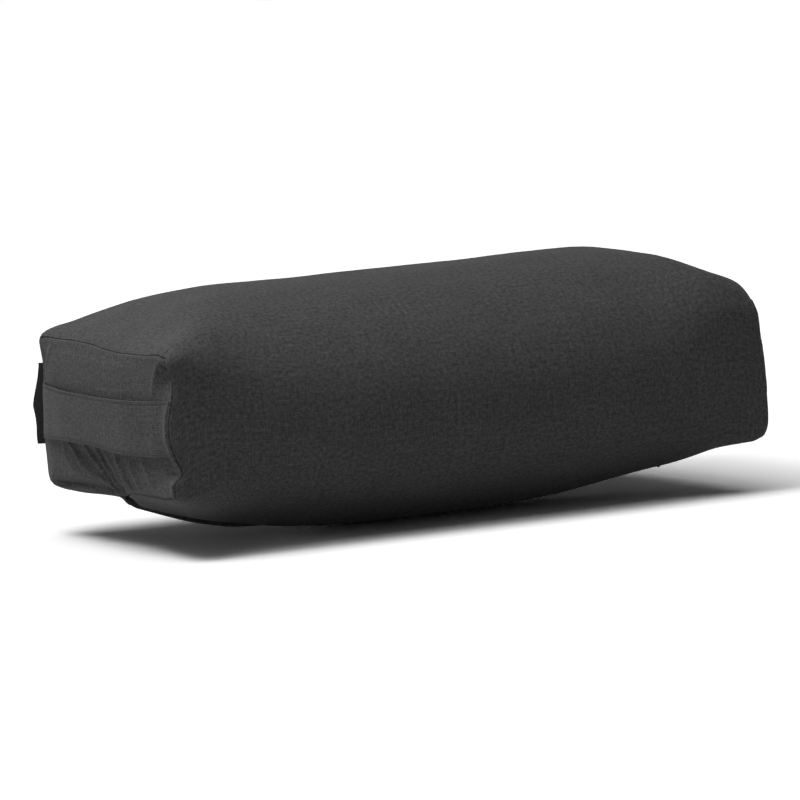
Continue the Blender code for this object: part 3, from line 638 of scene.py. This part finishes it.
def add_cloth(mesh, uv):
    """Gives a mesh its coordinates on the cloth, one for each corner of a face, and smooth shading."""
    layer = mesh.uv_layers.new(name="cloth")
    layer.data.foreach_set("uv", np.ascontiguousarray(uv, dtype=np.float32).ravel())
    mesh.shade_smooth()


def grid_mesh(name, places, uv, flip=False):
    """A mesh of quads from a grid of points."""
    rows, columns = places.shape[:2]
    index = np.arange(rows * columns).reshape(rows, columns)
    quads = np.stack((index[:-1, :-1], index[:-1, 1:], index[1:, 1:], index[1:, :-1]), axis=-1).reshape(-1, 4)
    return mesh_of(name, places.reshape(-1, 3), quads[:, ::-1] if flip else quads, uv.reshape(-1, 2))


def closed_tube(name, places, uv, flip=False):
    """A closed mesh from a lengthwise grid whose last column repeats the first, with capped ends."""
    rows, columns = places.shape[0], places.shape[1] - 1
    sides = [
        [(i, j), (i, j + 1), (i + 1, j + 1), (i + 1, j)]
        for i in range(rows - 1)
        for j in range(columns)
    ]
    caps = [[(0, j) for j in range(columns)][::-1], [(rows - 1, j) for j in range(columns)]]
    faces = [face[::-1] if flip else face for face in sides + caps]
    mesh = bpy.data.meshes.new(name)
    corners = [[i * columns + j % columns for i, j in face] for face in faces]
    mesh.from_pydata(places[:, :-1].reshape(-1, 3).tolist(), [], corners)
    add_cloth(mesh, [uv[at] for face in faces for at in face])
    mesh.set_sharp_from_angle(angle=math.radians(60))
    return mesh


def link(name, data):
    """Puts an object with the given data in the scene."""
    made = bpy.data.objects.new(name, data)
    bpy.context.scene.collection.objects.link(made)
    return made


def add_piece(mesh, look, slot=None, replaces=(), body="cover"):
    """Makes a mesh a piece on a body, which stands for CAD nodes, with the look's material. The slot argument
    is not used.
    """
    piece = link(mesh.name, mesh)
    mesh.materials.append(MATERIALS[look])
    slot = slot or look
    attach(piece, body)
    if replaces:
        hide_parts(*replaces)
    return piece


def thicken(piece, thick):
    """Gives a sheet its cloth thickness, inwards."""
    wall = piece.modifiers.new("thickness", "SOLIDIFY")
    wall.thickness = thick
    wall.offset = -1
    wall.use_even_offset = False
    wall.use_rim = True


def make_cover():
    """Wrap panel and the two end panels. Returns the wrap's grid, for the stitches that lie on it."""
    wrap_places, girths = shape_wrap()
    mesh = grid_mesh("cover_wrap", wrap_places, points_of(wrap_places[..., 0], girths))
    wrap = add_piece(mesh, "canvas", replaces=("cover_wrap_panel",))
    thicken(wrap, CANVAS)
    for end, name in ENDS:
        places, uv = shape_panel(end)
        mesh = grid_mesh("end_panel_" + name, places, uv, flip=end < 0)
        panel = add_piece(mesh, "canvas", replaces=("cover_end_panel_" + name,))
        thicken(panel, CANVAS)
    return wrap_places


def strap_profile():
    """A folded strap's section as a loop of (across, out): flat faces, round edges and sewn grooves."""
    half, round_off = STRAP_WIDTH / 2, STRAP_THICK / 2
    flat = half - round_off
    face = []
    for v in np.linspace(-flat, flat, 31):
        groove = bell((abs(v) - STITCH_LINE) / 0.0007)
        face.append((v, STRAP_THICK + 0.00022 * (1 - (v / half) ** 2) - 0.0006 * groove))
    turn = np.radians((60, 30, 0, -30, -60))
    edge = [(flat + round_off * math.cos(a), round_off + round_off * math.sin(a)) for a in turn]
    back = [(v, 0.0) for v in np.linspace(flat, -flat, 12)]
    return np.array(face + edge + back + [(-v, out) for v, out in edge[::-1]] + face[:1])


def strap_course(end):
    """Places along a strap, as a column, and its inner face's height there as a function of the place across.

    It is free in the middle, and follows the panel down into the seams."""
    out_at = panel_surface(end)
    y = STRAP_REACH * np.sin(np.linspace(-math.pi / 2, math.pi / 2, 201))[:, None]
    rest = out_at(y, EQUATOR + np.linspace(-0.42, 0.5, 9) * STRAP_WIDTH).max(axis=1)
    even = np.linspace(-STRAP_REACH, STRAP_REACH, 181)
    padded = np.pad(np.interp(even, y[:, 0], rest), 15, mode="edge")
    highest = np.lib.stride_tricks.sliding_window_view(padded, 31).max(axis=1)
    share = np.abs(y) / HALF_WIDTH
    held = ease((share - 0.76) / 0.20)
    free = np.interp(y, even, soften(highest, 14)) + STRAP_GAP + STRAP_SLACK * ease((0.92 - share) / 0.50)
    tuck = 0.0036 * bell((STRAP_REACH - np.abs(y)) / 0.0014)

    def inner_face(across):
        on_panel = out_at(y, EQUATOR + across) + STRAP_GAP
        return np.maximum(free * (1 - held) + on_panel * held, on_panel) - tuck

    return y, inner_face


def edge_drift(end, y, across):
    """How far a strap's long edges drift up from straight."""
    upper = 0.5 + across / STRAP_WIDTH
    if end > 0:
        return -0.0010 * (1 - (y / HALF_WIDTH) ** 2)
    return STRAP_TOP_DRIFT(y) * upper + STRAP_LOW_DRIFT(y) * (1 - upper)


def make_straps():
    """A handle of folded canvas across each end panel, sewn into its upright seams, with stitched edges."""
    loop = strap_profile()
    girth = np.concatenate(([0], np.cumsum(np.linalg.norm(np.diff(loop, axis=0), axis=1))))
    across, thick = loop.T
    sewn = np.array((-STITCH_LINE, STITCH_LINE))
    for end, name in ENDS:
        y, inner_face = strap_course(end)
        squeeze = 1 - 0.45 * bell((STRAP_REACH - np.abs(y)) / 0.002)
        out = inner_face(across) + thick * squeeze + 0.0005 * ripple(y / 0.03, across / 0.02, 57.0 + end)
        sway = 0.0006 * ripple(y / 0.05, 0.0, 51.0 + end)
        places = points_of(end * out, y, EQUATOR + across + sway + edge_drift(end, y, across))
        mesh = closed_tube("strap_" + name, places, points_of(y, girth), flip=end > 0)
        add_piece(mesh, "strap", replaces=("handle_strap_" + name,))
        out = inner_face(sewn) + STRAP_THICK - 0.0002
        lines = points_of(end * out, y, EQUATOR + sewn + edge_drift(end, y, sewn))[3:-3]
        make_stitching("strap_stitching_" + name, lines.swapaxes(0, 1), (end, 0, 0))


def stitch(start, end):
    """Points and faces of one stitch: a short round thread that dips into the cloth at both ends."""
    axis = (end - start).normalized()
    side = axis.orthogonal().normalized()
    other = axis.cross(side)
    points, faces = [], []
    for share, wide in ((0.0, 0.35), (0.14, 0.9), (0.5, 1.0), (0.86, 0.9), (1.0, 0.35)):
        middle = start.lerp(end, share)
        for k in range(6):
            angle = k * math.pi / 3
            points.append(middle + (side * math.cos(angle) + other * math.sin(angle)) * THREAD * wide)
    for ring in range(0, 24, 6):
        for k in range(6):
            one, two = ring + k, ring + (k + 1) % 6
            faces.append((one, two, two + 6, one + 6))
    return points, faces + [tuple(range(5, -1, -1)), tuple(range(24, 30))]


def make_stitching(name, lines, outward):
    """A row of stitches along each line of points, as one piece that stands a little outward."""
    lift = Vector(outward) * THREAD * 0.5
    points, faces = [], []
    for line in lines:
        route = [Vector(point) for point in line]
        lengths = np.concatenate(([0.0], np.cumsum([(b - a).length for a, b in zip(route, route[1:])])))
        at = STITCH_PITCH
        while at + STITCH_PITCH < lengths[-1]:
            ends = []
            for place in (at, at + STITCH_LENGTH):
                i = int(np.clip(np.searchsorted(lengths, place) - 1, 0, len(route) - 2))
                share = (place - lengths[i]) / (lengths[i + 1] - lengths[i])
                ends.append(route[i].lerp(route[i + 1], share) + lift)
            made, sides = stitch(*ends)
            faces += [tuple(v + len(points) for v in side) for side in sides]
            points += made
            at += STITCH_PITCH
    mesh = bpy.data.meshes.new(name)
    mesh.from_pydata([tuple(p) for p in points], [], faces)
    add_cloth(mesh, [(points[v].x + points[v].y, points[v].z) for face in faces for v in face])
    add_piece(mesh, "thread", slot="strap")


def make_hem_stitching(wrap):
    """Two rows of stitches along the hems beside the zip, on the wrap panel's own surface."""
    lines = []
    for near, far in ((HEM_COUNT, HEM_COUNT + 1), (-1 - HEM_COUNT, -2 - HEM_COUNT)):
        line = 0.55 * wrap[:, near] + 0.45 * wrap[:, far]
        line = line[np.abs(line[:, 0]) < HALF_LENGTH - 0.012]
        line[:, 2] = np.maximum(line[:, 2], 0.0005)
        lines.append(line)
    make_stitching("hem_stitching", lines, (0, 0, -0.2))


def folded_line(off, straight, count):
    """Half of a folded ribbon's section: out along one ply, round the fold and back along the other."""
    turn = [(straight + abs(off) * math.cos(a), off * math.sin(a)) for a in np.linspace(1.1, -1.1, count)]
    there = [(u, off) for u in np.linspace(0.0, straight, 5)]
    return there + turn + [(u, -off) for u, off in there[::-1]]


def make_label():
    """A folded ribbon caught in the upright seam: two plies and a fold, bowed along its length, left bare."""
    straight = LABEL_REACH - LABEL_PLY - LABEL_GAP / 2
    loop = folded_line(LABEL_PLY + LABEL_GAP / 2, straight, 7) + folded_line(-LABEL_GAP / 2, straight, 5)
    reach, side = np.transpose(loop + loop[:1])
    step = np.linspace(-1, 1, 41)[:, None]
    height = LABEL_MIDDLE + step * LABEL_HEIGHT / 2
    share = reach / LABEL_REACH
    away = reach + LABEL_BOW(step) * share
    off = side * (1 + 1.2 * (1 - step**2) * share) + 0.0016 * np.sin(2.3 * step + 0.4) * share
    x = -PANEL_FACE + 0.0018 + NEAR_BACK_SEAM(height) + (off - away) * math.sqrt(0.5)
    y = HALF_WIDTH - 0.0006 + (off + away) * math.sqrt(0.5)
    uv = points_of(step * LABEL_HEIGHT / 2, np.arange(len(reach)) * 0.001)
    mesh = closed_tube("side_label", points_of(x, y, height), uv)
    add_piece(mesh, "label", replaces=("side_label_tab",))


def make_tapes():
    """Woven zip tapes, each with a thicker cord along the teeth, which part beyond the slider."""
    split_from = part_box("zip_slider_body")[0].x
    x = np.linspace(-(HALF_LENGTH - 0.0158), HALF_LENGTH - 0.006, 180)[:, None]
    inner = TAPE_INNER + TAPE_SPREAD * ease((x - split_from - 0.003) / 0.007)
    face = [(0.0, 0.7), (0.06, 1.0), (0.14, 0.75), (0.3, 0.5), (0.7, 0.5), (1.0, 0.5)]
    across, up = np.transpose(face + [(place, -height) for place, height in face[::-1]] + face[:1])
    y = inner + (TAPE_OUTER - inner) * across
    slope, rise, off = np.arcsin(x / CHAIN_RADIUS), chain_height(x), up * TAPE_THICK
    for side, name in ((1, "left"), (-1, "right")):
        bent = lip_shift(x, side * y, rise - 0.01) * across**1.5
        places = points_of(x - off * np.sin(slope), side * y, rise + off * np.cos(slope) + bent)
        mesh = closed_tube("tape_" + name, places, points_of(x, y), flip=side > 0)
        add_piece(mesh, "zip_tape", replaces=("zip_tape_" + name,))


def inner_sleeve(name, layer, look, node_name):
    """A layer of the insert: a sleeve inside the cover, raised over the zip."""
    inset, over_zip, thick, wave = layer
    half = HALF_LENGTH - END_SPACE
    rows = np.linspace(0, 1, 70)
    rim_y, rim_z = rim_points(rows)
    rims = np.array([(mirrored(rim_y, -1, closed=True), mirrored(rim_z, closed=True))])
    places = []
    for x in np.linspace(-half, half, 90):
        y, z, share = half_outline(x, inset)
        half_y, half_z = np.interp(rows, share, y), np.interp(rows, share, z)
        raised = np.maximum(half_z, chain_height(x) + over_zip)
        half_z = np.where(half_y < ZIP_CLEAR, raised, half_z)
        places.append(points_of(x, mirrored(half_y, -1, closed=True), mirrored(half_z, closed=True)))
    places = np.array(places)
    uv = points_of(places[..., 0], np.linspace(0, 0.9, places.shape[1]))
    settle(places, rims)
    normal = grid_normals(places)
    height = ripple(places[..., 0] / 0.05, uv[..., 1] / 0.06, 70.0 + inset * 1000) * wave
    places += normal * (height - wave)[..., None]
    near_zip = (np.abs(places[..., 1]) < ZIP_CLEAR) & (places[..., 2] < EQUATOR)
    lowest = np.where(near_zip, chain_height(places[..., 0]) + over_zip, -1.0)
    places[..., 2] = np.maximum(places[..., 2], lowest)
    mesh = sleeve_mesh(name, places, places - normal * thick, uv)
    return add_piece(mesh, look, replaces=(node_name,))


def sleeve_mesh(name, outer, inner, uv):
    """A closed sleeve between an outer and an inner grid that both go round."""
    points = np.concatenate((outer[:, :-1].reshape(-1, 3), inner[:, :-1].reshape(-1, 3)))
    flat_uv = np.tile(uv[:, :-1].reshape(-1, 2), (2, 1))
    rows, columns = outer.shape[0], outer.shape[1] - 1
    base = rows * columns
    index = np.arange(base).reshape(rows, columns)
    turned = np.roll(index, -1, axis=1)
    skin = np.stack((index[:-1], turned[:-1], turned[1:], index[1:]), axis=-1).reshape(-1, 4)
    first = np.stack((index[0] + base, turned[0] + base, turned[0], index[0]), axis=-1)
    last = np.stack((index[-1], turned[-1], turned[-1] + base, index[-1] + base), axis=-1)
    return mesh_of(name, points, np.concatenate((skin, base + skin[:, ::-1], first, last)), flat_uv)


def make_insert():
    """Liner, batting and foam block, which the cover hides."""
    inner_sleeve("liner_bag", LINER, "liner", "liner_sleeve")
    for end, name in ENDS:
        low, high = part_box("liner_end_" + name)
        a, b = np.meshgrid(np.linspace(-1, 1, 60), np.linspace(-1, 1, 60), indexing="ij")
        pull = rounding(a, b, 8)
        y = a * pull * ((high.y - low.y) / 2 - 0.006)
        z = (high.z + low.z) / 2 + b * pull * ((high.z - low.z) / 2 - 0.008)
        bulge = PANEL_BULGE * (1 - a**2) * (1 - b**2) + 0.0003 * ripple(y / 0.04, z / 0.04, 81.0)
        places = points_of(end * (HALF_LENGTH - END_SPACE + bulge), y, z)
        mesh = grid_mesh("liner_bag_end_" + name, places, places[..., 1:], flip=end < 0)
        thicken(add_piece(mesh, "liner", replaces=("liner_end_" + name,)), 0.0006)
    outer = inner_sleeve("batting_outer", OUTER_BATTING, "batting", "batting_outer_wrap")
    inner = inner_sleeve("batting_inner", INNER_BATTING, "batting", "batting_inner_wrap")
    make_core()


def rounded_lines(half, radius):
    """Places from one face of a block to the other, close together where its edges are round."""
    turn = [half - radius * (1 - math.cos(a)) for a in np.linspace(0, math.pi / 2, 6)]
    return both_ways(turn + list(np.linspace(half - radius, 0, max(int((half - radius) / 0.010), 2)))[1:])


def make_core():
    """The foam block, with its edges rounded and its cut faces a little uneven."""
    low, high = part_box("foam_core")
    middle, half = (low + high) / 2, (high - low) / 2
    lines = [rounded_lines(value, CORE_ROUND) for value in half]
    index, points, faces = {}, [], []

    def corner(*at):
        if at not in index:
            index[at] = len(points)
            place = Vector([lines[k][at[k]] for k in range(3)])
            inner = Vector([max(min(place[k], half[k] - CORE_ROUND), CORE_ROUND - half[k]) for k in range(3)])
            uneven = CORE_UNEVEN * (noise.noise(place * 22) - 1)
            points.append(middle + inner + (place - inner).normalized() * (CORE_ROUND + uneven))
        return index[at]

    for axis in range(3):
        one, two = (axis + 1) % 3, (axis + 2) % 3
        for side in (0, len(lines[axis]) - 1):
            for i in range(len(lines[one]) - 1):
                for j in range(len(lines[two]) - 1):
                    face = []
                    for step_one, step_two in ((0, 0), (1, 0), (1, 1), (0, 1)):
                        at = [0, 0, 0]
                        at[axis], at[one], at[two] = side, i + step_one, j + step_two
                        face.append(corner(*at))
                    faces.append(face if side else face[::-1])
    mesh = bpy.data.meshes.new("core_block")
    mesh.from_pydata(points, [], faces)
    mesh.shade_smooth()
    core = add_piece(mesh, "foam", replaces=("foam_core",))


def dress_zip():
    """The zip's moulded and metal pieces keep their CAD shapes and get finished surfaces."""
    moulded = ("teeth_left", "teeth_right", "top_stop_left", "top_stop_right", "bottom_stop")
    for look, names in (("zip_teeth", moulded), ("zip_metal", ("slider_body", "pull_tab"))):
        for name in names:
            for material_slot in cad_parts["zip_" + name].material_slots:
                material_slot.material = MATERIALS[look]


def node(tree, kind, inputs=None, **settings):
    """Adds a shader node, sets its properties, and fills its inputs with values or other nodes' outputs."""
    made = tree.nodes.new(kind)
    for key, value in settings.items():
        setattr(made, key, value)
    for key, value in (inputs or {}).items():
        if isinstance(value, bpy.types.NodeSocket):
            tree.links.new(value, made.inputs[key])
        else:
            made.inputs[key].default_value = value
    return made


def maths(tree, operation, *values):
    """The result of a Math node."""
    return node(tree, "ShaderNodeMath", dict(enumerate(values)), operation=operation).outputs[0]


def vector_maths(tree, operation, inputs, output=0):
    """The result of a Vector Math node."""
    return node(tree, "ShaderNodeVectorMath", inputs, operation=operation).outputs[output]


def mixed(tree, factor, one, two):
    """One value where a factor is 0, and two where it is 1."""
    return node(tree, "ShaderNodeMix", {0: factor, 2: one, 3: two}, data_type="FLOAT").outputs[0]


def noise_at(tree, place, scale, detail, rough=0.5):
    """A noise texture's values."""
    inputs = {"Vector": place, "Scale": scale, "Detail": detail, "Roughness": rough}
    return node(tree, "ShaderNodeTexNoise", inputs).outputs["Fac"]


def ribs(tree, value):
    """Rows of ridges, one for each whole step of a value."""
    return maths(tree, "ABSOLUTE", maths(tree, "SINE", maths(tree, "MULTIPLY", value, math.pi)))


def new_material(name, rough, metallic=0.0, sheen=0.0, sheen_rough=0.5, specular=0.5):
    """A material whose values are the same all over its surface."""
    material = bpy.data.materials.new(name)
    material.use_nodes = True
    shader = material.node_tree.nodes["Principled BSDF"]
    values = {
        "Roughness": rough, "Metallic": metallic, "Specular IOR Level": specular,
        "Sheen Weight": sheen, "Sheen Roughness": sheen_rough,
    }
    for key, value in values.items():
        shader.inputs[key].default_value = value
    return material, material.node_tree, shader


def tint(tree, shader, colour, level):
    """Sets a shader's colour, times a varying level."""
    tinted = vector_maths(tree, "SCALE", {0: colour, "Scale": level})
    tree.links.new(tinted, shader.inputs["Base Color"])


def emboss(tree, shader, strength, relief, height):
    """Gives a shader a relief from a varying height."""
    bump = node(tree, "ShaderNodeBump", {"Strength": strength, "Distance": relief, "Height": height})
    tree.links.new(bump.outputs[0], shader.inputs["Normal"])


def cloth_material(name, colour, pitch, sheen=0.04, relief=0.0002, grain=0.50, mottle=0.11, twill=False):
    """Woven cloth: crossing threads in relief with painted shade between them, uneven yarn, broad mottling
    and a soft sheen.
    """
    material, tree, shader = new_material(name, 0.92, sheen=sheen, sheen_rough=0.45, specular=0.08)
    cloth = node(tree, "ShaderNodeUVMap", uv_map="cloth").outputs[0]
    threads = vector_maths(tree, "SCALE", {0: cloth, "Scale": 1 / pitch})
    parts = node(tree, "ShaderNodeSeparateXYZ", {0: threads}).outputs
    if twill:
        along = ribs(tree, maths(tree, "MULTIPLY_ADD", parts[0], 0.5, parts[1]))
        across = ribs(tree, parts[0])
        weave_relief_and_shade = maths(tree, "MULTIPLY_ADD", across, 0.35, maths(tree, "MULTIPLY", along, 0.65))
    else:
        along, across = ribs(tree, parts[0]), ribs(tree, parts[1])
        over = maths(tree, "MULTIPLY", along, maths(tree, "MULTIPLY_ADD", across, 0.35, 0.65))
        below = maths(tree, "MULTIPLY", across, maths(tree, "MULTIPLY_ADD", along, 0.35, 0.65))
        cells = node(tree, "ShaderNodeTexChecker", {"Vector": threads, "Scale": 1.0}).outputs["Fac"]
        weave_relief_and_shade = mixed(tree, cells, over, below)
    yarn = []
    for stretch in ((0.9, 0.035, 1.0), (0.035, 0.9, 1.0)):
        yarn.append(noise_at(tree, vector_maths(tree, "MULTIPLY", {0: threads, 1: stretch}), 1.0, 2.0))
    slub = maths(tree, "ADD", *yarn)
    fine = noise_at(tree, threads, 0.42, 3.0, 0.7)
    broad = noise_at(tree, cloth, 26.0, 3.0)
    # Painted shade: the colour is darker in the hollows between the threads, following the threads' relief;
    # the yarn, fine and broad noise below are the cloth's own uneven tone.
    level = maths(tree, "MULTIPLY_ADD", weave_relief_and_shade, 0.70, 0.61)
    for texture, gain, base in (
        (slub, grain, 1 - grain),
        (fine, grain * 4.4, 1 - grain * 2.2),
        (broad, mottle * 2, 1 - mottle),
    ):
        level = maths(tree, "MULTIPLY", level, maths(tree, "MULTIPLY_ADD", texture, gain, base))
    tint(tree, shader, colour, level)
    emboss(tree, shader, 0.55, relief, maths(tree, "MULTIPLY_ADD", slub, 0.35, weave_relief_and_shade))
    return material


def moulded_material(name, colour, rough, metallic=0.0):
    """Moulded plastic or painted metal: fine surface grain, faint handling marks and uneven gloss."""
    material, tree, shader = new_material(name, rough, metallic)
    place = node(tree, "ShaderNodeTexCoord").outputs["Object"]
    fine, wear = noise_at(tree, place, 2600.0, 2.0), noise_at(tree, place, 240.0, 4.0)
    tree.links.new(maths(tree, "MULTIPLY_ADD", wear, 0.24, rough - 0.12), shader.inputs["Roughness"])
    tint(tree, shader, colour, maths(tree, "MULTIPLY_ADD", wear, 0.4, 0.8))
    emboss(tree, shader, 0.4, 0.00002, fine)
    return material


def fluffy_material(name, colour, scale, relief):
    """Batting or open foam: fibres pressed into a mat, or cells, in relief, with painted shade by their
    depth.
    """
    material, tree, shader = new_material(name, 0.95, sheen=0.2, specular=0.2)
    place = node(tree, "ShaderNodeTexCoord").outputs["Object"]
    fibre = noise_at(tree, place, scale, 6.0, 0.75)
    cells = node(tree, "ShaderNodeTexVoronoi", {"Vector": place, "Scale": scale * 1.7}).outputs["Distance"]
    depth_relief_and_shade = maths(tree, "MULTIPLY_ADD", cells, 0.5, fibre)
    # Painted shade: fibres and cells are darker where they lie deeper.
    tint(tree, shader, colour, maths(tree, "MULTIPLY_ADD", depth_relief_and_shade, 0.3, 0.78))
    emboss(tree, shader, 0.6, relief, depth_relief_and_shade)
    return material


def make_materials():
    """Each look by its name. The name is a material slot's, but for the thread's."""
    charcoal = (0.062, 0.062, 0.064)
    ribbon = (0.022, 0.0215, 0.0235)
    tape = (0.012, 0.012, 0.013)
    yarn = (0.055, 0.055, 0.057)
    cotton = (0.62, 0.58, 0.50)
    return {
        "canvas": cloth_material("canvas", charcoal, 0.0015),
        "strap": cloth_material("strap_canvas", charcoal, 0.0015),
        "label": cloth_material("label_ribbon", ribbon, 0.0006, sheen=0.1, relief=0.00008),
        "zip_tape": cloth_material("zip_tape_weave", tape, 0.0009, sheen=0.05, twill=True),
        "thread": cloth_material("thread", yarn, 0.0004, sheen=0.2, relief=0.00005),
        "zip_teeth": moulded_material("moulded_teeth", (0.014, 0.014, 0.015), 0.42),
        "zip_metal": moulded_material("painted_metal", (0.03, 0.03, 0.032), 0.36, metallic=0.8),
        "liner": cloth_material("cotton_liner", cotton, 0.0008, sheen=0.15, grain=0.05),
        "batting": fluffy_material("cotton_batting", (0.80, 0.77, 0.70), 180.0, 0.0012),
        "foam": fluffy_material("open_foam", (0.70, 0.72, 0.66), 420.0, 0.0004),
    }


def make_camera():
    """The photograph's view: a long lens, a little above the floor and rolled."""
    a, e = CAMERA_AZIMUTH, CAMERA_ELEVATION
    back = Vector((-math.sin(a) * math.cos(e), -math.cos(a) * math.cos(e), math.sin(e)))
    right = Vector((math.cos(a), -math.sin(a), 0))
    up = back.cross(right)
    turned_right = right * math.cos(CAMERA_ROLL) - up * math.sin(CAMERA_ROLL)
    turned_up = up * math.cos(CAMERA_ROLL) + right * math.sin(CAMERA_ROLL)
    data = bpy.data.cameras.new("camera")
    data.lens = CAMERA_LENS
    data.sensor_width = 36
    data.shift_x = -PIXEL_SHIFT[0] / PICTURE
    data.shift_y = PIXEL_SHIFT[1] / PICTURE
    data.clip_end = 200
    camera = link("camera", data)
    axes = Matrix((turned_right, turned_up, back)).transposed().to_4x4()
    camera.matrix_world = Matrix.Translation(CAMERA_TARGET + back * CAMERA_DISTANCE) @ axes
    bpy.context.scene.camera = camera


def seen_only(tree):
    """1 for camera, glossy and transmission rays, else 0."""
    path = node(tree, "ShaderNodeLightPath").outputs
    seen = maths(tree, "MAXIMUM", path["Is Camera Ray"], path["Is Glossy Ray"])
    return maths(tree, "MAXIMUM", seen, path["Is Transmission Ray"])


def make_sky():
    """A soft even light from all round, which is white where it is seen."""
    world = bpy.data.worlds.new("studio")
    world.use_nodes = True
    bpy.context.scene.world = world
    tree = world.node_tree
    sky = tree.nodes["Background"]
    tree.links.new(mixed(tree, seen_only(tree), SKY, 1.0), sky.inputs["Strength"])
    sky.inputs["Color"].default_value = (1, 1, 1, 1)


def floor_material():
    """A floor that looks evenly white out of the shadow: its seen colour makes up for the lamps' levels."""
    material, tree, shader = new_material("floor", 1.0, specular=0.0)
    place = node(tree, "ShaderNodeNewGeometry").outputs["Position"]
    ray = vector_maths(tree, "SUBTRACT", {0: tuple(SOFTBOX_PLACE), 1: place})
    far = vector_maths(tree, "LENGTH", {0: ray}, "Value")
    facing = vector_maths(tree, "DOT_PRODUCT", {0: ray, 1: tuple(SOFTBOX_AWAY)}, "Value")
    gain = SOFTBOX_LEVEL * SOFTBOX_AWAY.length * SOFTBOX_PLACE.z
    pool = maths(tree, "DIVIDE", maths(tree, "MULTIPLY", facing, gain), maths(tree, "POWER", far, 4.0))
    even = SKY + sum(level * Vector(way).normalized().z for _, way, level, _ in SUNS)
    lit = maths(tree, "ADD", maths(tree, "MAXIMUM", pool, 0.0), even)
    white = maths(tree, "DIVIDE", FLOOR_SEEN, lit)
    tint(tree, shader, (1, 1, 1), mixed(tree, seen_only(tree), FLOOR_BOUNCE, white))
    return material


def make_floor():
    """A wide white floor."""
    mesh = bpy.data.meshes.new("floor")
    corners = [(x * FLOOR_HALF, y * FLOOR_HALF, 0) for x, y in ((-1, -1), (1, -1), (1, 1), (-1, 1))]
    mesh.from_pydata(corners, [], [(0, 1, 2, 3)])
    floor = link("floor", mesh)
    mesh.materials.append(floor_material())


def add_lamp(name, kind, energy, way):
    """A lamp that shines from a direction. Returns its data and its object."""
    lamp = bpy.data.lights.new(name, kind)
    lamp.energy = energy
    shone = link(name, lamp)
    shone.rotation_euler = Vector(way).to_track_quat("Z", "Y").to_euler()
    return lamp, shone


def make_lights():
    """Wide light from above, a key and a softbox at the near end, and low fills from behind and in front."""
    for name, way, level, angle in SUNS:
        lamp, _ = add_lamp(name, "SUN", level * math.pi, way)
        lamp.angle = math.radians(angle)
    energy = SOFTBOX_LEVEL * math.pi**2 * SOFTBOX_AWAY.length_squared
    lamp, softbox = add_lamp("softbox", "AREA", energy, SOFTBOX_AWAY)
    lamp.shape = "DISK"
    lamp.size = SOFTBOX_SIZE
    softbox.location = SOFTBOX_PLACE


MATERIALS = make_materials()
make_camera()
make_sky()
make_floor()
make_lights()
bpy.context.scene.view_settings.view_transform = "Standard"
wrap_places = make_cover()
make_straps()
make_label()
make_tapes()
make_hem_stitching(wrap_places)
make_insert()
dress_zip()
